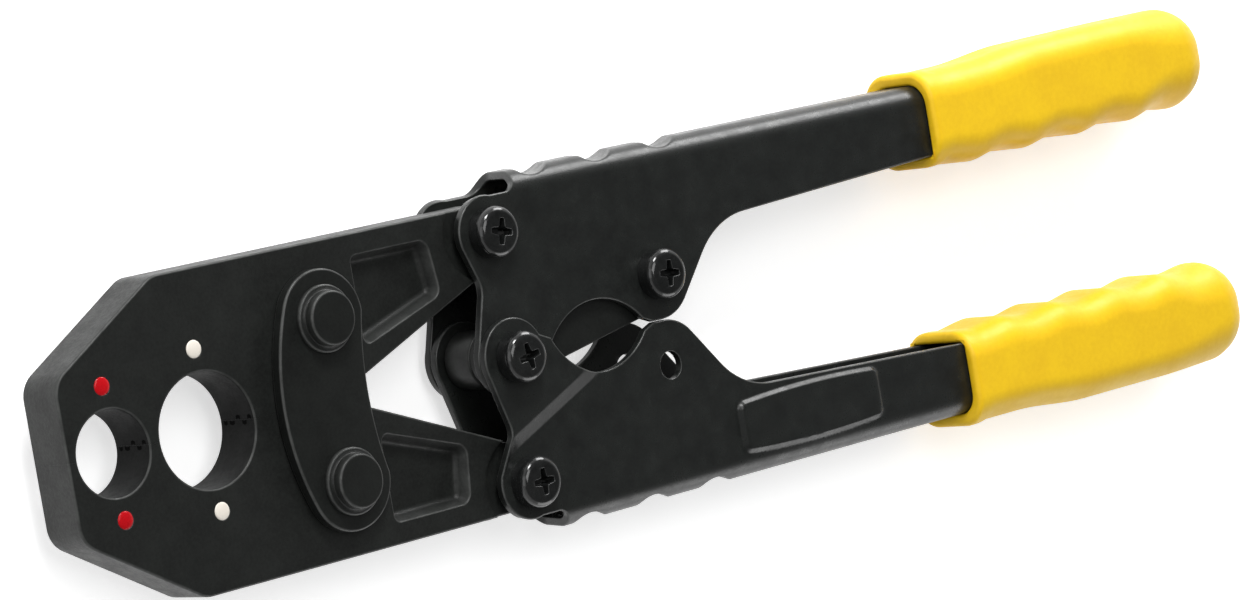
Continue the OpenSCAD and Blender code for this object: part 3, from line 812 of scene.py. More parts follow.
@dataclass(frozen=True)
class Sizes:
    """The sizes of the CAD source that more than one sub-assembly uses."""

    small_die_r: float = 8.95
    large_die_r: float = 12.1
    die_pitch: float = 24.0
    jaw_face: float = 6.0
    head_half_w: float = 33.5
    jaw_pin: Pair = (31.9, 17.3)
    jaw_pin_r: float = 5.0
    centre: Pair = (80.6, 0.0)
    link: Pair = (80.6, 27.4)
    barrel_r: float = 4.25
    hole_gap: float = 0.05
    cheek_z: float = 6.3
    cheek_top: float = 8.3
    stop: Pair = (126.6, 10.3)
    stop_barrel_r: float = 3.05
    spine_y: float = 39.5
    sweep: Pair = (147.4, 19.3)
    bar_lean: float = 2.5
    bar_end: float = 300.6
    mouth_x: float = 219.2

    @property
    def dies(self) -> tuple[Pair, ...]:
        """The axis and the radius of the small and of the large die."""
        return (-self.die_pitch, self.small_die_r), (0.0, self.large_die_r)

    @property
    def pivots(self) -> tuple[tuple[Pair, float], ...]:
        """The axis and the barrel's radius of the upper handle's three pivots."""
        return (self.centre, self.barrel_r), (self.link, self.barrel_r), (self.stop, self.stop_barrel_r)

    def bar_low(self, x: float) -> float:
        """The height of the free edge of a handle's bar at a place along it."""
        return self.sweep[1] + (x - self.sweep[0]) * math.tan(math.radians(self.bar_lean))


SIZES = Sizes()


# ---------------- jaws


SCORE_RUNS = {Side.UPPER: ((4.9, 3.6), (1.2, -0.2)),
              Side.LOWER: ((3.2, 1.7), (-0.9, -2.6), (-3.4, -4.6))}


@dataclass
class Jaw:
    """One jaw: the thick forged plate with half of each die, two pockets and two paint dimples."""

    side: Side
    sizes: Sizes = SIZES
    seam: float = 0.008
    edge_r: float = 0.55
    hole_edge_r: float = 0.2
    nose_x: float = -35.35
    nose_half_w: float = 16.4
    shoulder_x: float = 7.5
    corner_r: float = 6.0
    arm_flare: float = 22.3
    arm_end_x: float = 88.4
    arm_end_r: float = 5.0
    arm_end: float = 4.8
    heel_r: float = 16.95
    heel_lift: float = 0.002
    pocket_x: Pair = (44.1, 66.5)  # front and back
    pocket_low: float = 9.4
    pocket_rim: float = 4.9
    pocket_flare: float = 4.5
    pocket_taper: float = 1.5
    pocket_corners: Pair = (1.5, 2.5)  # radii in front and behind
    pocket_least: Pair = (0.4, 0.6)  # the least that they shrink to
    pocket_depth: float = 3.0
    pocket_draft: float = 1.5
    pocket_edge: float = 0.45
    dimple_r: float = 1.9
    dimple_depth: float = 0.8
    mark_margin: float = 4.8
    slot_r: float = 5.6
    slot_len: float = 6.9
    slot_lean: float = 8.6
    step_r: float = 10.4
    step_ends: Pair = (130.0, 262.0)  # first and last angle round the link
    step_x: Pair = (68.9, 82.4)  # where the outline has close points
    step_pitch: float = 0.25
    step_edge: Triple = (0.12, 0.3, 0.3)  # start, run and softness
    step_rings: tuple[float, ...] = (0.7, 0.3, 0.12, 0.0, -0.12, -0.3, -0.7)
    point_gap: float = 0.5
    seam_blend: int = 6
    die_margin: float = 0.4
    score_reach: Pair = (0.06, 0.85)  # nearest and farthest from the seam
    score_skew: float = 0.5

    def outline(self) -> tuple[Array, Array]:
        """Gives the jaw's outline, dies included.

        Returns:
            The outline's points, and the share of edge rounding at each.
        """
        s = self.sizes
        px, py = s.jaw_pin
        flare = math.radians(self.arm_flare)
        heel_x, heel_y = px + self.heel_r * math.sin(flare), py - self.heel_r * math.cos(flare)
        dies = []
        for x, r in s.dies:
            low = math.degrees(math.asin(self.seam / r))
            dies.append(arc((x, 0), r, 180 - low, low, 40))
        heel = arc(s.jaw_pin, self.heel_r, -90, self.arm_flare - 90, 14)
        # The heel's first points leave the seam, so that no edge folds back on it.
        heel[0, 1] = self.seam
        heel[1:4, 1] = np.maximum(heel[1:4, 1], self.seam + self.heel_lift)
        arm_low = heel_y + (self.arm_end_x - heel_x) * math.tan(flare)
        corners = [
            (heel_x, heel_y, 0), (self.arm_end_x, arm_low, self.arm_end_r),
            (self.arm_end_x, s.head_half_w, self.arm_end_r),
            (-self.shoulder_x, s.head_half_w, self.corner_r),
            (self.nose_x, self.nose_half_w, self.corner_r), (self.nose_x, self.seam, 0)]
        outer = [fillet(a[:2], b[:2], c[:2], b[2], 12)
                 for a, b, c in zip(corners, corners[1:], corners[2:])]
        near_step = np.arange(*self.step_x, self.step_pitch)
        under = np.column_stack([near_step, heel_y + (near_step - heel_x) * math.tan(flare)])
        over = lifted(near_step[::-1], s.head_half_w)
        nose = np.array([corners[-1][:2]])
        loop = np.vstack([nose, *dies, heel, under, *outer[:2], over, *outer[2:]])
        shares = np.ones(len(loop))
        start = 1 + len(dies[0]) + len(dies[1])
        shares[start:start + self.seam_blend] = np.linspace(0, 1, self.seam_blend)
        return loop, shares

    def pocket(self, grow: float = 0.0) -> Array:
        """Gives the pocket in the jaw's rear arm.

        Args:
            grow: How far its edge moves outward.

        Returns:
            The pocket's edge, as a hole.
        """
        (front, back), low, top = self.pocket_x, self.pocket_low, self.sizes.head_half_w - self.pocket_rim
        slope = math.radians(self.arm_flare - self.pocket_flare)
        rise = (back - front) * math.tan(slope)
        lift = grow / math.cos(slope)
        lean = grow * math.tan(slope)
        near, far = (max(least, r + grow) for least, r in zip(self.pocket_least, self.pocket_corners))
        return closed(rounded([
            (front - grow, top + grow, near), (front - grow, low - lift - lean, near),
            (back + grow, low + rise - lift + lean, far),
            (back - self.pocket_taper + grow, top + grow, far)]), hole=True)

    def step_points(self, outline: Array) -> Rows:
        """Gives the points that carry the step's edge round the thinner end.

        Args:
            outline: The jaw's outline.

        Returns:
            The points, and the rows in them that edges follow.
        """
        rows = [arc(self.sizes.link, self.step_r + out, *self.step_ends, 60) for out in self.step_rings]
        return settle(rows, [outline], self.point_gap, len(rows))

    def place(self, points: Array) -> Array:
        """Thins the rear end of a plate's points and turns them into the jaw's half.

        Args:
            points: One point a row.

        Returns:
            The points in the tool's frame.
        """
        s = self.sizes
        x, y, z = points.T
        beyond = np.minimum(np.hypot(x - s.link[0], y - s.link[1]) - self.step_r, s.link[0] - x)
        reach, run, soft = self.step_edge
        drop = (s.jaw_face - self.arm_end) * ease((reach - beyond) / run, soft)
        return self.side.turn(np.column_stack([x, y, z * (1 - drop / s.jaw_face)]))

    def slot(self) -> Array:
        """Gives the hidden slot of the upper jaw, in which its pin stays clear between the end poses.

        Returns:
            The slot's edge.
        """
        px, py = self.sizes.jaw_pin
        lean, turn = math.radians(self.slot_lean), self.slot_lean
        end = (px + math.sin(lean) * self.slot_len, py - math.cos(lean) * self.slot_len)
        return np.vstack([arc((px, py), self.slot_r, turn, turn + 180),
                          arc(end, self.slot_r, turn + 180, turn + 360)])

    def build(self) -> Piece:
        """Builds the jaw's mesh.

        Returns:
            The jaw.
        """
        s = self.sizes
        face, depth, draft, edge = s.jaw_face, self.pocket_depth, self.pocket_draft, self.pocket_edge
        outline, shares = self.outline()
        pin = self.slot() if self.side is Side.UPPER else circle(s.jaw_pin, s.jaw_pin_r + s.hole_gap)
        walls = [Wall(outline, eased(face, -face, self.edge_r), shares, self.seam)]
        walls += through([closed(pin, hole=True), bored(s.link, s.barrel_r + s.hole_gap)],
                         face, -face, self.hole_edge_r)
        # The third number of each step is how worn the edge is, which also paints a glint of light on it.
        profile = [(0, edge, 0), (0.06, 0.26, 0.8), (0.2, 0.09, 1), (edge, 0, 0.5),
                   (depth - 0.9, -draft * 0.62, 0), (depth - 0.35, -draft * 0.86, 0.1),
                   (depth - 0.08, -draft * 1.15, 0.1), (depth, -draft * 1.5, 0)]
        cup = [(0, 0.15, 0), (0.05, 0.05, 0.8), (0.15, 0, 0.3), (self.dimple_depth, -0.25, 0)]
        blinds = [(self.pocket(), profile, sign, self.pocket) for sign in (1, -1)]
        blinds += [(bored((x, r + self.mark_margin), self.dimple_r, 40), cup, self.side.value, None)
                   for x, r in s.dies]
        for loop, steps, sign, shape in blinds:
            rings = [Ring(sign * (face - sunk), move, wear_and_glint) for sunk, move, wear_and_glint in steps]
            walls.append(Wall(loop, rings, blind=True, from_below=sign < 0, shape=shape))
        shell = Shell(self.place)
        shell.plate(walls, *self.step_points(outline))
        return shell.object(f"{self.side.word}_jaw_forging")

    def dress(self, shop: Workshop) -> None:
        """Builds the jaw, its paint marks and the dark scores in its dies.

        Args:
            shop: The workshop that fits them.
        """
        word, dies, r = self.side.word, self.sizes.dies, self.dimple_r
        body = f"{word}_jaw"
        forging = shop.fit(self.build(), body, BLACK_STEEL, body)
        # The dies' side walls take the darker copy of the steel, which paints the shade inside the dies.
        forging.data.materials.append(DIE_WALL_PAINTED_SHADE.material(shop.effects))
        for polygon in forging.data.polygons:
            at = polygon.center / MM
            in_die = any(math.hypot(at.x - x, at.y) < die_r + self.die_margin for x, die_r in dies)
            if in_die and abs(polygon.normal.z) < 0.5:
                polygon.material_index = 1
        crown = [(r * math.sin(a), -0.12 + 0.42 * math.cos(a), 0) for a in np.linspace(0, QUARTER, 9)]
        crown += [(r, -0.4, 0), (r * 0.8, -0.7, 0), (0, -0.7, 0)]
        for colour, finish, (x, die_r) in zip(("red", "white"), (RED_PAINT, WHITE_PAINT), dies):
            at = (x, self.side.value * (die_r + self.mark_margin), self.sizes.jaw_face)
            paint = turned(f"{word}_{colour}_paint", at, crown, 48, 60)
            shop.fit(paint, body, finish, f"{word}_{colour}_mark")
        for number, (x, die_r) in enumerate(dies, 1):
            shop.fit(self.scores(f"{word}_die_{number}_scores", x, die_r), body, DARK_MARK)

    def scores(self, name: str, x: float, radius: float) -> Piece:
        """Builds the short dark scores beside the parting line in one die's rear wall.

        Args:
            name: The piece's name.
            x: The die's axis.
            radius: The die's radius.

        Returns:
            The scores as one mesh.
        """
        shell = Shell()
        sign = self.side.value
        reach = np.array([math.degrees(v / radius) for v in self.score_reach])
        skew = math.degrees(self.score_skew / radius)
        for start, end in SCORE_RUNS[self.side]:
            for depth, flip in ((0.02, False), (-0.1, True)):
                rows = []
                for z, turn in ((start, 0.0), ((start + end) / 2, skew), (end, 0.0)):
                    r, angles = radius - depth, np.radians(sign * (reach + turn * 0.5))
                    points = np.column_stack([x + r * np.cos(angles), r * np.sin(angles)])
                    rows.append(shell.add(lifted(points, z)))
                for a, b in zip(rows, rows[1:]):
                    quad = [int(a[0]), int(a[1]), int(b[1]), int(b[0])]
                    shell.faces.append(quad[::-1] if flip == (sign > 0) else quad)
        return shell.object(name)


# ---------------- side plates and their pins


@dataclass
class SidePlates:
    """The two kidney-shaped plates and the two riveted pins that carry the jaws."""

    sizes: Sizes = SIZES
    bottom: float = 6.15
    top: float = 9.15
    lobe_r: float = 10.6
    bulge: float = 14.2
    back: float = 8.6
    edge_r: float = 0.6
    hole_edge_r: float = 0.15
    rivet_base_r: float = 7.2
    rivet_top_r: float = 5.75
    rivet_h: float = 3.5

    def outline(self) -> Array:
        """Gives the kidney: two lobes, a bulged front edge and a hollow rear edge.

        Returns:
            The outline.
        """
        px, py = self.sizes.jaw_pin
        front_r = (self.bulge ** 2 + py ** 2 - self.lobe_r ** 2) / (2 * (self.bulge - self.lobe_r))
        front_x = px - self.bulge + front_r
        front_a = math.degrees(math.atan2(py, front_x - px))
        hollow = self.lobe_r - self.back
        back_r = (py ** 2 + hollow ** 2) / (2 * hollow)
        back_a = math.degrees(math.asin(py / back_r))
        return closed(np.vstack([
            arc((front_x, 0), front_r, 180 - front_a, 180 + front_a, 40),
            arc((px, -py), self.lobe_r, 180 + front_a, 360, 40),
            arc((px + self.back + back_r, 0), back_r, 180 + back_a, 180 - back_a, 24),
            arc((px, py), self.lobe_r, 0, 180 - front_a, 40)]))

    def plate(self, side: Side, name: str) -> Piece:
        """Builds one plate.

        Args:
            side: Upper for the plate in front, lower for the one behind.
            name: The piece's name.

        Returns:
            The plate.
        """
        s = self.sizes
        holes = [bored((s.jaw_pin[0], sign * s.jaw_pin[1]), s.jaw_pin_r + s.hole_gap) for sign in (-1, 1)]
        shell = Shell(side.turn)
        shell.plate([Wall(self.outline(), eased(self.top, self.bottom, self.edge_r)),
                     *through(holes, self.top, self.bottom, self.hole_edge_r)])
        return shell.object(name)

    def pin(self, side: Side) -> Piece:
        """Builds one jaw pin with its two stepped rivet heads.

        Args:
            side: The jaw's half.

        Returns:
            The pin.
        """
        x, y = self.sizes.jaw_pin
        base, crown, h = self.rivet_base_r, self.rivet_top_r, self.rivet_h
        head = [(0, h, 0), (crown - 0.55, h, 0), (crown - 0.22, h - 0.06, 0.8), (crown - 0.03, h - 0.25, 1),
                (crown + 0.05, h - 0.6, 0.3), (crown + 0.12, 1.55, 0), (crown + 0.3, 1.25, 0),
                (base - 0.5, 1.12, 0), (base - 0.18, 1.02, 0.8), (base, 0.78, 0.8), (base, 0.1, 0),
                (base, 0.0, 0), (self.sizes.jaw_pin_r, 0.0, 0)]
        profile = [(r, self.top + z, w) for r, z, w in head]
        profile += [(r, -z, w) for r, z, w in reversed(profile)]
        return turned(f"{side.word}_jaw_rivet", (x, side.value * y, 0), profile, 72, 50)

    def dress(self, shop: Workshop) -> None:
        """Builds both plates and both pins.

        Args:
            shop: The workshop that fits them.
        """
        for side, word in zip(Side, ("front", "rear")):
            plate = self.plate(side, f"{word}_kidney_plate")
            shop.fit(plate, "side_plates", BLACK_PLATE, f"{word}_side_plate")
        for side in Side:
            shop.fit(self.pin(side), "side_plates", BLACK_PLATE, f"{side.word}_jaw_pin")


# ---------------- handles


@dataclass
class Handle:
    """One handle: a channel folded from sheet. It is laid out flat, along x and across the sheet."""

    side: Side
    sizes: Sizes = SIZES
    sheet: float = 2.0
    edge_r: float = 0.42
    hole_edge_r: float = 0.25
    bend_r: float = 5.0
    link_lobe: Pair = (8.1, 197.5)  # radius and last angle
    centre_lobe: Triple = (8.6, 156.5, 334.6)  # radius, first and last angle
    stop_lobe: Triple = (10.2, 270.0, 320.0)  # radius, first and last angle
    arch: Triple = (107.2, -9.2, 17.1)  # x, y and radius
    arch_ends: Pair = (156.0, 38.0)  # first and last angle
    waist: Pair = (0.48, 0.58)  # shares of the centre lobe's radius and of the link's height
    waist_r: float = 6.0
    stop_foot: float = 3.0
    sweep_r: float = 20.0
    lobe_top: float = 10.4
    spine_x: float = 88.9
    spine_slant: float = 6.5
    notch_y: float = 35.2
    notch_r: Pair = (3.2, 4.5)  # near and far corner of the upper handle
    groove_first: float = 20.5
    groove_pitch: float = 19.2
    groove_slant: float = 28.0
    groove_r: float = 5.6
    groove_depth: float = 1.8
    groove_soft: float = 0.14
    grooves: int = 3
    step_from: Pair = (78.0, 20.1)
    step_to: Pair = (101.8, 9.7)
    step_rise: float = 2.1
    step_run: float = 3.5
    step_foot: float = 0.2
    step_soft: float = 0.1
    step_clear: Triple = (1.9, 3.6, 106.0)  # middle, half width and last x of the gap in the grid
    step_along: Triple = (1.0, 2.5, 0.9)  # run before its start, run past its end, and pitch
    step_rows: tuple[float, ...] = (
        -0.9, -0.3, 0.0, 0.2, 0.45, 0.9, 1.6, 2.4, 3.1, 3.45, 3.7, 4.0, 4.8)
    pad: tuple[float, ...] = (144.6, 189.1, 28.2, 5.5)  # first x, last x, middle and half height
    pad_r: float = 1.6
    pad_bow: float = 0.9
    pad_rise: float = 1.0
    pad_edge: float = 1.1
    pad_soft: float = 0.2
    pad_pitch: float = 1.1
    pad_clear: float = 2.2
    pad_rings: tuple[float, ...] = (-1.6, -0.75, -0.5, -0.25, 0.0, 0.25, 0.5, 0.75, 1.6)
    grid_along: Triple = (74.0, 298.0, 3.5)  # start, end and pitch
    grid_across: Triple = (12.2, 48.0, 3.2)  # start, end and pitch
    point_gap: float = 0.75
    runs: tuple[Triple, ...] = (  # start, end and pitch along the back
        (84.0, 140.0, 0.6), (140.0, 194.0, 0.9), (194.0, 300.0, 4.0))
    front_gap: float = 0.9
    front_reach: float = 8.0

    @property
    def flat(self) -> float:
        """Half the flat width of the handle's back."""
        return self.sizes.cheek_top - self.bend_r

    @property
    def bend(self) -> float:
        """Length of a bend along the middle of the sheet."""
        return (self.bend_r - self.sheet / 2) * math.pi / 2

    def across(self, y: float | Array) -> float | Array:
        """Turns a height on a cheek into a distance across the flat sheet."""
        return self.flat + self.bend + self.sizes.spine_y - self.bend_r - y

    def lay(self, points: Array, sign: int) -> Array:
        """Lays points of the near cheek (1) or the far cheek (-1) out on the flat sheet."""
        return np.column_stack([points[:, 0], sign * self.across(points[:, 1])])

    def cheek_edge(self) -> Array:
        """Gives a cheek's free edge, from the notch at its front to the end of the bar.

        Returns:
            The edge's points, as x and y.
        """
        s = self.sizes
        link_r, link_end = self.link_lobe
        centre_r, *centre_ends = self.centre_lobe
        stop_r, *stop_ends = self.stop_lobe
        link_start = math.degrees(math.asin((self.notch_y - s.link[1]) / link_r))
        waist = (s.centre[0] - centre_r * self.waist[0], s.link[1] * self.waist[1])
        link_arc = arc(s.link, link_r, link_start, link_end, 40)
        centre_arc = arc(s.centre, centre_r, *centre_ends, 50)
        arch_arc = arc(self.arch[:2], self.arch[2], *self.arch_ends, 40)
        stop_arc = arc(s.stop, stop_r, *stop_ends, 16)
        end = (s.bar_end, s.bar_low(s.bar_end))
        return np.vstack([
            link_arc, fillet(link_arc[-1], waist, centre_arc[0], self.waist_r, 10), centre_arc,
            arch_arc, [[s.stop[0] - self.stop_foot, 0.1]], stop_arc,
            fillet(stop_arc[-1], s.sweep, end, self.sweep_r, 20), [end]])

    def front_x(self, z: float) -> float:
        """Where the handle's back starts at a height through the tool, in the upper handle's frame."""
        return self.spine_x + self.spine_slant * (0.5 - self.side.value * z / (2 * self.lobe_top))

    def outline(self) -> Array:
        """Gives the outline of the flat sheet, both cheeks and the back in one.

        Returns:
            The outline.
        """
        edge = self.cheek_edge()
        near, far = self.lay(edge, 1), self.lay(edge[::-1], -1)
        level = self.across(self.notch_y)
        middle = self.sizes.cheek_z + self.sheet / 2
        near_corner, far_corner = ((self.front_x(sign * middle), sign * level) for sign in (1, -1))
        first, last = self.notch_r[::self.side.value]
        near_notch = fillet(far_corner, near_corner, near[0], first, 14)
        far_notch = fillet(far[-1], far_corner, near_corner, last, 14)
        front = np.linspace(far_notch[-1], near_notch[0], 12)[1:-1]
        return closed(np.vstack([near_notch, near, far, far_notch, front]))

    @property
    def step_way(self) -> tuple[Array, Array, float]:
        """The step's first point, its direction and its length."""
        way = np.subtract(self.step_to, self.step_from)
        return np.array(self.step_from), way, math.hypot(*way)

    def beyond(self, x: Array, y: Array) -> Array:
        """Gives how far places on the stepped cheek lie beyond the foot of its step."""
        (x1, y1), (dx, dy), length = self.step_way
        return -(dx * (y - y1) - dy * (x - x1)) / length

    def bow(self, x: Array) -> Array:
        """Gives how far the label pad's long sides bow out at places along it."""
        x1, x2, _, _ = self.pad
        return self.pad_bow * np.maximum(0, 1 - ((2 * x - x1 - x2) / (x2 - x1)) ** 2)

    def pad_distance(self, x: Array, y: Array) -> Array:
        """Gives how far places lie outside the label pad's rounded edge.

        Args:
            x: The places along the cheek.
            y: Their heights on it.

        Returns:
            The distances, negative on the pad.
        """
        x1, x2, middle, half = self.pad
        dx = np.abs(x - (x1 + x2) / 2) - (x2 - x1) / 2 + self.pad_r
        dy = np.abs(y - middle) - half - self.bow(x) + self.pad_r
        outside = np.hypot(np.maximum(dx, 0), np.maximum(dy, 0))
        return outside + np.minimum(np.maximum(dx, dy), 0) - self.pad_r

    def press(self, x: Array, outer_y: Array, z: Array) -> Array:
        """Gives how far the slanted grooves press the back in.

        Args:
            x: The places along the back.
            outer_y: The height of its outer face there.
            z: The places through the tool.

        Returns:
            The depths.
        """
        total = np.zeros_like(x)
        slant = math.radians(self.groove_slant)
        for i in range(self.grooves):
            middle = self.sizes.centre[0] + self.groove_first + i * self.groove_pitch
            away = (x - middle + self.side.value * z * math.tan(slant)) * math.cos(slant)
            reach = np.sqrt(np.maximum(self.groove_r ** 2 - np.minimum(away ** 2, self.groove_r ** 2), 0))
            floor = self.sizes.spine_y - self.groove_depth + self.groove_r - reach
            sunk = self.groove_soft * np.logaddexp(0, (outer_y - floor) / self.groove_soft)
            total += sunk * (np.abs(away) < self.groove_r)
        return total

    def place(self, points: Array) -> Array:
        """Folds points of the flat sheet into the handle.

        Args:
            points: Place along, place across and height over the middle of the sheet.

        Returns:
            The points in the tool's frame.
        """
        x, across, n = points.T
        sign = np.where(across < 0, -1.0, 1.0)
        away = np.abs(across)
        cheek = self.flat + self.bend
        top = self.sizes.spine_y - self.bend_r
        turn = np.clip((away - self.flat) / (self.bend_r - self.sheet / 2), 0, math.pi / 2)
        radius = self.bend_r - self.sheet / 2 + n
        y = top + radius * np.cos(turn) - np.maximum(away - cheek, 0)
        z = np.minimum(away, self.flat) + radius * np.sin(turn)
        y -= self.press(x, top + self.bend_r * np.cos(turn), sign * z) * (away < cheek)
        rise = self.step_rise * ease((self.beyond(x, y) - self.step_foot) / self.step_run, self.step_soft)
        inward = self.pad_edge / 2 - self.pad_distance(x, y)
        pad = self.pad_rise * ease(inward / self.pad_edge, self.pad_soft)
        z += np.where((sign < 0) & (away > cheek), rise, 0.0) + np.where(sign < 0, pad, 0.0)
        return self.side.turn(np.column_stack([x, y, sign * z]))

    def bend_rows(self) -> list[Array]:
        """Gives rows of points along the back and its bends, dense where the grooves are.

        Returns:
            The rows, from the far cheek to the near one.
        """
        xs = np.concatenate([np.arange(*run) for run in self.runs])
        round_bend = self.flat + np.linspace(0, self.bend, 15)[1:]
        columns = np.concatenate([np.linspace(0, self.flat, 5), round_bend])
        columns = sorted({*columns.round(4).tolist(), *(-columns).round(4).tolist()})
        reach, gap = self.front_reach, self.front_gap
        starts = [self.front_x(max(-reach, min(reach, c))) + gap for c in columns]
        return [lifted(xs[xs > start], c) for c, start in zip(columns, starts)]

    def ramp_rows(self) -> list[Array]:
        """Gives rows of points along the step of the far cheek.

        Returns:
            The rows.
        """
        first, way, length = self.step_way
        along = way / length
        before, past, pitch = self.step_along
        line = first + np.outer(np.arange(-before, length + past, pitch), along)
        return [self.lay(line + np.array([along[1], -along[0]]) * out, -1) for out in self.step_rows]

    def pad_rows(self) -> list[Array]:
        """Gives rings of points round the edge of the label pad.

        Returns:
            The rings.
        """
        x1, x2, middle, half = self.pad
        rows = []
        for out in self.pad_rings:
            r = max(0.1, self.pad_r + out)
            ring = rounded([(x, middle + side * (half + out), r) for x, side in (
                (x1 - out, -1), (x2 + out, -1), (x2 + out, 1), (x1 - out, 1))])
            gaps = [(a, b, np.linalg.norm(b - a)) for a, b in zip(ring, np.roll(ring, -1, axis=0))]
            ring = np.vstack([np.linspace(a, b, max(2, int(gap / self.pad_pitch)), endpoint=False)
                              for a, b, gap in gaps if gap > 1e-6])
            ring[:, 1] += np.sign(ring[:, 1] - middle) * self.bow(ring[:, 0])
            rows.append(self.lay(ring, -1))
        return rows

    def grid(self) -> Array:
        """Gives an even grid of points on both cheeks, clear of the step and of the pad's edge.

        Returns:
            The points.
        """
        grid = np.array([(x, c * sign) for x in np.arange(*self.grid_along)
                         for c in np.arange(*self.grid_across) for sign in (1, -1)])
        x, y = grid[:, 0], self.across(0.0) - np.abs(grid[:, 1])
        middle, half, last = self.step_clear
        near_step = (np.abs(self.beyond(x, y) - middle) < half) & (x < last)
        near_pad = np.abs(self.pad_distance(x, y)) < self.pad_clear
        return grid[~((grid[:, 1] < 0) & (near_step | near_pad))]

    def build(self) -> Piece:
        """Builds the handle's mesh.

        Returns:
            The handle.
        """
        s = self.sizes
        outline, half = self.outline(), self.sheet / 2
        holes = [bored((x, sign * self.across(y)), r + s.hole_gap, 48)
                 for sign in (1, -1) for (x, y), r in s.pivots]
        walls = [Wall(outline, eased(half, -half, self.edge_r)),
                 *through(holes, half, -half, self.hole_edge_r, 3)]
        bends = self.bend_rows()
        rows = [*bends, *self.ramp_rows(), *self.pad_rows(), self.grid()]
        shell = Shell(self.place)
        shell.plate(walls, *settle(rows, [outline, *holes], self.point_gap, len(bends)))
        return shell.object(f"{self.side.word}_channel_handle", 42)

    def dress(self, shop: Workshop) -> None:
        """Builds the handle and puts it on its body."""
        name = f"{self.side.word}_handle"
        shop.fit(self.build(), name, HANDLE_PAINT, name)


# ---------------- grips


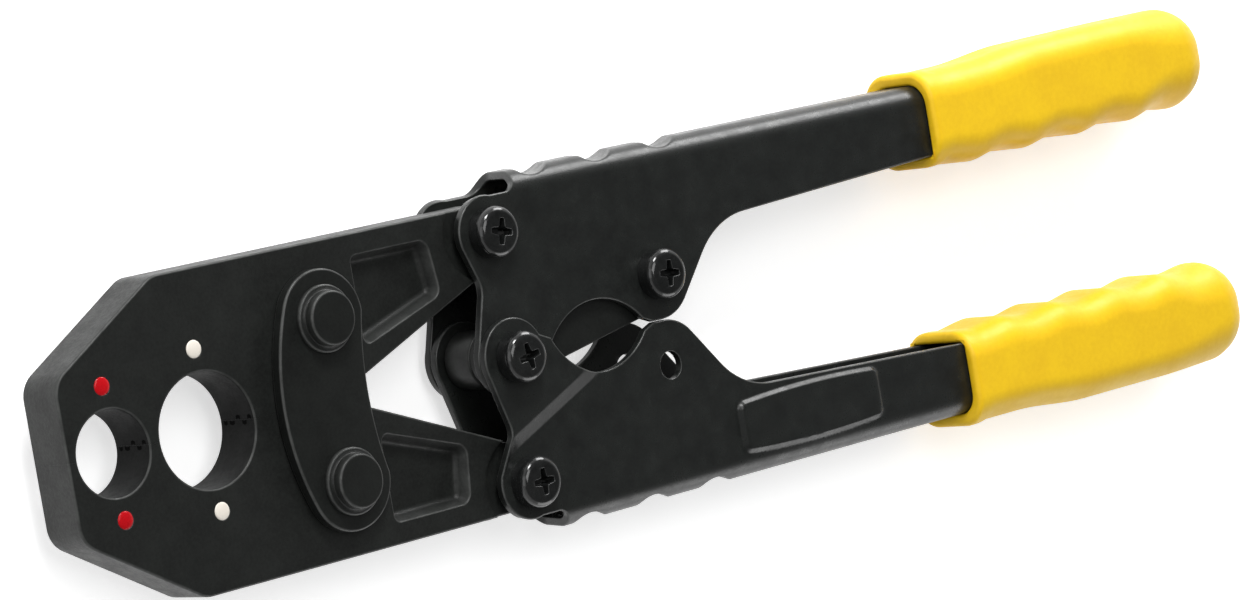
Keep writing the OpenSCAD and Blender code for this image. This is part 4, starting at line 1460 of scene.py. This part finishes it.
@dataclass
class Grip:
    """One moulded grip: collar, drawn-in neck, finger grooves on the inner side and a round end."""

    side: Side
    lean: float
    sizes: Sizes = SIZES
    length: float = 103.5
    half_h: float = 12.6
    half_w: float = 11.3
    edge_r: float = 7.0
    end_r: float = 11.0
    end_round: float = 4.2
    end_run: Pair = (34.0, 30.0)  # where its corners start to widen before the end, and over what length
    end_soft: float = 0.35
    neck_draw: float = 1.6
    neck_outer: Pair = (18.0, 24.0)  # start and run
    neck_inner: Pair = (3.0, 15.0)  # start and run
    collar_len: float = 5.0
    lip: float = 0.5
    lip_r: float = 1.3
    mouth_r: float = 0.9
    ring_pitch: float = 0.75
    axis_y: float = 31.1
    finger_first: float = 25.0
    finger_pitch: float = 19.5
    fingers: int = 4
    finger_depth: float = 1.3
    finger_power: float = 0.8
    gap: float = 0.1
    bore_corners: Pair = (5.0, 0.4)  # outward and inward radius
    bore_depths: tuple[float, ...] = (60, 30, 8, 0.9)
    round_steps: int = 160

    def half_heights(self, x: float) -> Pair:
        """Gives how far the grip reaches from its axis.

        Args:
            x: The place along the grip.

        Returns:
            Its reach outward and inward.
        """
        neck = self.half_h - self.neck_draw
        past_lip = (x / self.collar_len - 0.7) / 0.5
        collar = self.lip * (1 - float(ease(np.array(past_lip), 0.3)))
        outward, inward = (neck + self.neck_draw * smooth((x - start) / run)
                           for start, run in (self.neck_outer, self.neck_inner))
        first = self.finger_first - self.finger_pitch / 2
        if first < x < first + self.fingers * self.finger_pitch:
            wave = 0.5 - 0.5 * math.cos(2 * math.pi * (x - first) / self.finger_pitch)
            inward -= self.finger_depth * wave ** self.finger_power
        return outward + collar, inward + collar

    @property
    def around(self) -> tuple[Array, Array]:
        """The cosines and sines of the directions round the grip."""
        angles = np.linspace(0, 2 * math.pi, self.round_steps, endpoint=False)
        return np.cos(angles), np.sin(angles)

    def outer(self, x: float, shrink: float = 0.0) -> Array:
        """Makes one ring of the outside.

        Args:
            x: The place along the grip.
            shrink: How far the ring draws in.

        Returns:
            The ring in the tool's frame.
        """
        c, s = self.around
        outward, inward = self.half_heights(min(x, self.length - 0.01))
        into_end = max(0.0, x - (self.length - self.end_r))
        cut = self.end_r - math.sqrt(max(self.end_r ** 2 - into_end ** 2, 0.0))
        heights, width = np.where(c >= 0, outward, inward) - cut, self.half_w - cut
        before, run = self.end_run
        rounder = self.edge_r + self.end_round * smooth((x - self.length + before) / run)
        corner = np.minimum(rounder, np.minimum(heights, width) - 1e-3)
        radius = box_reach(np.abs(c), np.abs(s), heights, width, corner)
        dome_r = self.end_r + 1
        past = x - (self.length - dome_r)
        if past > 0:
            corner_r = math.hypot(self.half_h - self.edge_r, self.half_w - self.edge_r) + self.edge_r
            limit = corner_r - dome_r + math.sqrt(max(dome_r ** 2 - past ** 2, 0.0))
            radius = -self.end_soft * np.logaddexp(-radius / self.end_soft, -limit / self.end_soft)
        radius = radius - shrink
        lean = math.radians(self.lean)
        return np.column_stack([
            self.sizes.mouth_x + x * math.cos(lean) - radius * c * math.sin(lean),
            self.axis_y + x * math.sin(lean) + radius * c * math.cos(lean), radius * s])

    def hollow(self, x: float, grow: float = 0.0) -> Array:
        """Makes one ring of the bore round the handle's bar.

        Args:
            x: The place along the bore.
            grow: How far the ring widens.

        Returns:
            The ring in the tool's frame.
        """
        c, s = self.around
        sizes = self.sizes
        x += sizes.mouth_x
        low = self.axis_y - (sizes.bar_low(x) - self.gap)
        high = sizes.spine_y + self.gap - self.axis_y
        radius = box_reach(np.abs(c), np.abs(s), np.where(c >= 0, high, low), sizes.cheek_top + self.gap,
                           np.where(c >= 0, *self.bore_corners)) + grow
        return np.column_stack([np.full(len(c), x), self.axis_y + radius * c, radius * s])

    def build(self) -> Piece:
        """Builds the grip's mesh, from the bottom of its bore out over the mouth to its end.

        Returns:
            The grip.
        """
        shell = Shell(self.side.turn)
        straight, lip, mouth = self.length - self.end_r, self.lip_r, self.mouth_r
        rings = [self.hollow(depth) for depth in self.bore_depths]
        rings += [self.hollow(mouth - mouth * math.sin(a), mouth - mouth * math.cos(a))
                  for a in np.linspace(0.25, QUARTER, 5)]
        rings += [self.outer(lip - lip * math.sin(a), lip - lip * math.cos(a))
                  for a in np.linspace(QUARTER, 0.0, 7)]
        rings += [self.outer(x) for x in np.arange(lip + 0.6, straight - 0.2, self.ring_pitch)]
        rings += [self.outer(straight + self.end_r * math.sin(a))
                  for a in np.linspace(0, QUARTER * 0.985, 22)]
        rows = [shell.add(ring) for ring in rings]
        for a, b in zip(rows, rows[1:]):
            shell.bridge(b, a)
        for ring, row, flip in ((rings[0], rows[0], True), (rings[-1], rows[-1], False)):
            shell.fan(shell.add(ring.mean(axis=0)[None, :])[0], row, flip=flip)
        return shell.object(f"{self.side.word}_moulded_grip", 55)

    def dress(self, shop: Workshop) -> None:
        """Builds the grip and puts it on its handle."""
        shop.fit(self.build(), f"{self.side.word}_handle", GRIP_VINYL, f"{self.side.word}_grip")


def box_reach(c: Array, s: Array, height: Array, width: float, corner: Array) -> Array:
    """Gives how far a rounded box reaches from its middle in directions of one quarter.

    Args:
        c: Each direction's share along the height.
        s: Each direction's share along the width.
        height: Half the box's height in each direction.
        width: Half its width.
        corner: The radius of its corners.

    Returns:
        The distances.
    """
    c, s = np.maximum(c, 1e-9), np.maximum(s, 1e-9)
    flat, steep = height / c, width / s
    cy, cz = height - corner, width - corner
    along = c * cy + s * cz
    bend = along + np.sqrt(np.maximum(along ** 2 - cy ** 2 - cz ** 2 + corner ** 2, 0))
    return np.where(flat * s <= cz, flat, np.where(steep * c <= cy, steep, bend))


# ---------------- screws, barrels, spacers and stop plate


@dataclass(frozen=True)
class Post:
    """One screw and its barrel: their axis, body, seat, the two radii and how the cross is turned."""

    word: str
    at: Pair
    body: str
    seat: float
    barrel_r: float
    screw_r: float
    degrees: float


@dataclass
class Hardware:
    """The pan-head screws, the barrels behind them, the spacers and the stop plate."""

    sizes: Sizes = SIZES
    head_r: float = 5.6
    head_h: float = 4.6
    head_edge: float = 1.6
    head_dome: float = 0.22
    top_ring_r: float = 3.7
    thread_gap: float = 0.05
    shaft_len: float = 10.0
    barrel_head_h: float = 3.2
    barrel_edge: float = 1.2
    bore_len: float = 12.0
    recess_half: float = 2.85
    recess_slot: float = 0.72
    recess_depth: float = 2.4
    screw_r: float = 2.5
    stop_screw_r: float = 1.8
    centre_seat: float = 10.5
    spacer_z: Pair = (-6.2, 2.2)
    spacer_edge: float = 0.35
    spacer_r: Pair = (6.5, 5.0)  # outer radii at the centre and at the stop
    plate_z: Pair = (6.2, 2.2)
    plate_lobes: Pair = (6.2, 8.1)  # radii at the centre and at the stop
    plate_edge: Pair = (0.4, 0.15)  # radii of its own edges and of its holes

    def recess(self, degrees: float) -> Array:
        """Gives the rim of the cross recess.

        Args:
            degrees: How far the screw was driven round.

        Returns:
            The rim.
        """
        a, b = self.recess_half, self.recess_slot
        corners = []
        for c, s in ((1, 0), (0, 1), (-1, 0), (0, -1)):
            for x, y, r in ((a, -b * 0.8, 0.3), (a, b * 0.8, 0.3), (b * 1.15, b * 1.15, 0.42)):
                corners.append((x * c - y * s, x * s + y * c, r))
        turn = math.radians(degrees)
        return rounded(corners, 5) @ np.array([[math.cos(turn), math.sin(turn)],
                                               [-math.sin(turn), math.cos(turn)]])

    def domed(self, points: Array) -> Array:
        """Domes the top of a screw's head a little.

        Args:
            points: The screw's points.

        Returns:
            The domed points.
        """
        away = np.hypot(points[:, 0], points[:, 1]) / self.head_r
        lift = self.head_dome * np.clip(points[:, 2] - self.head_h + 1.0, 0, 1) * (1 - away ** 2)
        return points + np.outer(lift, (0, 0, 1))

    def screw(self, post: Post) -> Piece:
        """Builds a pan-head screw with a cross recess.

        Args:
            post: Its place and sizes.

        Returns:
            The screw.
        """
        h, e, r, end = self.head_h, self.head_edge, post.screw_r, self.shaft_len
        # The head's rounded rim is worn and also carries a painted glint of light.
        rings = [Ring(h - e * (1 - math.cos(a)), e * (1 - math.sin(a)), 0.25 * math.sin(2 * a))
                 for a in np.linspace(0, QUARTER, 11)]
        rings += [Ring(0.35, 0, 0), Ring(0.1, 0.06, 0.6), Ring(0.0, 0.25, 0)]
        cut = [Ring(h, 0.16, 0), Ring(h - 0.04, 0.07, 0.4), Ring(h - 0.14, 0.01, 0.2),
               Ring(h - 0.3, -0.03, 0), Ring(h - self.recess_depth, -0.3, 0)]

        shell = Shell(lambda points: self.domed(points) + np.array([*post.at, post.seat]))
        rim = closed(self.recess(post.degrees), hole=True)
        shell.plate([Wall(circle((0, 0), self.head_r), rings), Wall(rim, cut, blind=True)],
                    circle((0, 0), self.top_ring_r, 40))
        shell.lathe([(r, 0.0, 0), (r, 0.4 - end, 0), (r - 0.4, -end, 0), (0, -end, 0)], 40)
        return shell.object(f"{post.word}_pan_screw", 38)

    def barrel(self, post: Post) -> Piece:
        """Builds a barrel with a rounded head behind and a tapped bore in front.

        Args:
            post: Its place and sizes.

        Returns:
            The barrel.
        """
        r, e, seat, bore = self.head_r, self.barrel_edge, post.seat, post.screw_r + self.thread_gap
        end = -seat - self.barrel_head_h
        profile = [(0, seat - self.bore_len, 0), (bore, seat - self.bore_len, 0), (bore, seat, 0),
                   (post.barrel_r, seat, 0), (post.barrel_r, -seat, 0), (r - 0.2, -seat, 0),
                   (r, -seat - 0.2, 0.7), (r, end + e, 0)]
        profile += [(r - e + e * math.cos(a), end + e - e * math.sin(a), 0.25 * math.sin(2 * a))
                    for a in np.linspace(0.15, QUARTER, 8)]
        profile += [(1.5, end, 0), (1.2, end + 0.12, 0.6), (0.8, end + 0.5, 0), (0, end + 0.6, 0)]
        return turned(f"{post.word}_post", (*post.at, 0), profile, 64, 45)

    def spacer(self, post: Post, outer: float) -> Piece:
        """Builds a sleeve between the cheeks.

        Args:
            post: The post that it sits on.
            outer: Its outer radius.

        Returns:
            The sleeve.
        """
        (low, high), e, inner = self.spacer_z, self.spacer_edge, post.barrel_r + self.sizes.hole_gap
        profile = [(inner, high - e, 0), (inner + e, high, 0.6), (outer - e, high, 0.6),
                   (outer, high - e, 0.3), (outer, low + e, 0.3), (outer - e, low, 0.6),
                   (inner + e, low, 0.6), (inner, low + e, 0)]
        return turned(f"{post.word}_sleeve", (*post.at, 0), profile, 56, 50, ring=True)

    def stop_plate(self) -> Piece:
        """Builds the plate behind the upper handle's front cheek.

        Returns:
            The plate.
        """
        s = self.sizes
        r1, r2 = self.plate_lobes
        way = np.subtract(s.stop, s.centre)
        along = math.degrees(math.atan2(way[1], way[0]))
        lean = math.degrees(math.acos((r1 - r2) / float(np.linalg.norm(way))))
        outline = closed(np.vstack([arc(s.centre, r1, along + lean, along + 360 - lean, 30),
                                    arc(s.stop, r2, along - lean, along + lean, 30)]))
        holes = [bored(at, r + s.hole_gap, 48) for at, r in s.pivots[::2]]
        shell = Shell()
        edge, hole_edge = self.plate_edge
        shell.plate([Wall(outline, eased(*self.plate_z, edge)), *through(holes, *self.plate_z, hole_edge)])
        return shell.object("handle_stop_plate")

    def dress(self, shop: Workshop) -> None:
        """Builds every screw, barrel and spacer, and the stop plate.

        Args:
            shop: The workshop that fits them.
        """
        s = self.sizes
        low_link = (s.link[0], -s.link[1])
        top, r, thread = s.cheek_top, s.barrel_r, self.screw_r
        posts = (
            Post("centre", s.centre, "upper_handle", self.centre_seat, r, thread, 10.0),
            Post("upper_link", s.link, "upper_handle", top, r, thread, -13.0),
            Post("lower_link", low_link, "lower_handle", top, r, thread, 0.0),
            Post("stop", s.stop, "upper_handle", top, s.stop_barrel_r, self.stop_screw_r, -6.0))
        for post in posts:
            shop.fit(self.screw(post), post.body, SCREW_BLACK, f"{post.word}_screw")
            shop.fit(self.barrel(post), post.body, SCREW_BLACK, f"{post.word}_barrel")
        for post, outer in zip(posts[::3], self.spacer_r):
            shop.fit(self.spacer(post, outer), post.body, BLACK_PLATE, f"{post.word}_spacer")
        shop.fit(self.stop_plate(), "upper_handle", BLACK_PLATE, "stop_plate")


# ---------------- floor, lights and camera


@dataclass(frozen=True)
class Lamp:
    """One soft square lamp, in metres and watts."""

    name: str
    at: Triple
    size: float
    watts: float

    def hang(self, target: Point) -> None:
        """Hangs the lamp so that it faces a point.

        Args:
            target: The point.
        """
        data = bpy.data.lights.new(self.name, "AREA")
        data.shape = "SQUARE"
        data.size = self.size
        data.energy = self.watts
        made = link(self.name, data)
        made.location = self.at
        made.rotation_mode = "QUATERNION"
        made.rotation_quaternion = (Vector(target) - Vector(self.at)).to_track_quat("-Z", "Y")


@dataclass
class Studio:
    """The pale floor, the soft lights and the camera, in metres."""

    camera_at: Triple = (-0.545819, 0.083710, 0.754979)
    camera_turn: Triple = (4.09181, -41.59916, -12.82301)
    lens: float = 130.28
    sensor: float = 36.0
    clip: Pair = (0.01, 50.0)
    floor_size: float = 6.0
    floor_gap: float = 0.0002
    floor_tone: float = 0.84
    floor_mottle: float = 1.03
    floor_glow: float = 0.62
    world_light: tuple[float, ...] = (0.15, 0.75, 0.45, 0.105)  # from and to height, from and to strength
    ceiling: tuple[float, ...] = (0.3, 0.62, 1.0, 0.0)  # from and to height, from and to share of white
    aim: Triple = (0.14, 0.0, 0.0)
    lamps: tuple[Lamp, ...] = (
        Lamp("back_lamp", (-0.15, 1.15, 0.74), 0.35, 14.0),
        Lamp("edge_lamp", (1.0, 1.05, 0.3), 0.6, 12.0),
        Lamp("nose_lamp", (-1.15, 0.25, 0.6), 0.9, 3.0),
        Lamp("low_lamp", (0.75, -1.15, 0.16), 1.0, 7.0),
        Lamp("top_lamp", (-0.35, 0.55, 1.3), 0.8, 9.0))

    def camera(self) -> None:
        """Puts the camera where the photograph was taken from."""
        data = bpy.data.cameras.new("camera")
        data.lens, data.sensor_width, data.sensor_fit = self.lens, self.sensor, "HORIZONTAL"
        data.clip_start, data.clip_end = self.clip
        made = link("camera", data)
        made.location = self.camera_at
        made.rotation_euler = [math.radians(a) for a in self.camera_turn]
        bpy.context.scene.camera = made

    @staticmethod
    def seen(tree: Tree) -> Socket:
        """Gives 1 for rays that see the backdrop directly, in gloss or through glass.

        Args:
            tree: The tree to write in.

        Returns:
            The output.
        """
        path = tree.node("ShaderNodeLightPath").outputs
        direct = tree.math("ADD", path["Is Camera Ray"], path["Is Glossy Ray"])
        return tree.math("ADD", direct, path["Is Transmission Ray"], clamp=True)

    def floor(self, level: float) -> None:
        """Lays the floor.

        Args:
            level: Its height.
        """
        half, tone = self.floor_size / 2, self.floor_tone
        mesh = bpy.data.meshes.new("floor")
        corners = [(x * half, y * half, level) for x, y in ((-1, -1), (1, -1), (1, 1), (-1, 1))]
        mesh.from_pydata(corners, [], [(0, 1, 2, 3)])
        material = bpy.data.materials.new("pale_floor")
        tree = Tree.of(material)
        mottle = tree.noise(tree.node("ShaderNodeTexCoord").outputs["Object"], 60.0, 4.0, 0.6)
        light = tone * self.floor_mottle
        shader = tree.node("ShaderNodeBsdfPrincipled", {
            "Base Color": tree.blend(mottle, (tone, tone, tone, 1.0), (light, light, light, 1.0)),
            "Roughness": 0.9, "Specular IOR Level": 0.0, "Emission Color": (1.0, 1.0, 1.0, 1.0),
            "Emission Strength": tree.math("MULTIPLY", self.seen(tree), self.floor_glow)})
        tree.node("ShaderNodeOutputMaterial", {"Surface": shader.outputs[0]})
        mesh.materials.append(material)
        link("floor", mesh)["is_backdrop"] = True

    def world(self) -> None:
        """Surrounds the scene with a white backdrop under a dim ceiling. Both shed a dim grey light."""
        world = bpy.data.worlds.new("studio")
        bpy.context.scene.world = world
        tree = Tree.of(world)
        way = tree.node("ShaderNodeTexCoord").outputs["Generated"]
        height = tree.node("ShaderNodeSeparateXYZ", {"Vector": way}).outputs["Z"]
        light = tree.ramp(height, *self.world_light)
        shown = tree.math("MULTIPLY", self.seen(tree), tree.ramp(height, *self.ceiling))
        hidden = tree.math("SUBTRACT", 1.0, shown)
        strength = tree.math("ADD", tree.math("MULTIPLY", light, hidden), shown)
        back = tree.node("ShaderNodeBackground", {"Color": (1.0, 1.0, 1.0, 1.0), "Strength": strength})
        tree.node("ShaderNodeOutputWorld", {"Surface": back.outputs[0]})

    def build(self) -> None:
        """Makes the camera, floor, world and lamps."""
        self.camera()
        low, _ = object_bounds()
        self.floor(low.z - self.floor_gap)
        self.world()
        for lamp in self.lamps:
            lamp.hang(self.aim)
        bpy.context.scene.view_settings.view_transform = "Standard"
        log.info("studio is ready, floor at %.4f m", low.z)


def main() -> None:
    """Builds the tool sub-assembly by sub-assembly, then the studio."""
    logging.basicConfig(level=logging.INFO, format="%(name)s: %(message)s")
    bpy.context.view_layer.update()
    shop = Workshop()
    for part in (Jaw(Side.UPPER), Jaw(Side.LOWER), SidePlates(), Handle(Side.UPPER), Handle(Side.LOWER),
                 Grip(Side.UPPER, lean=1.2), Grip(Side.LOWER, lean=0.1), Hardware()):
        part.dress(shop)
    Studio().build()
    log.info("%d pieces", shop.made)


if __name__ == "__main__":
    main()
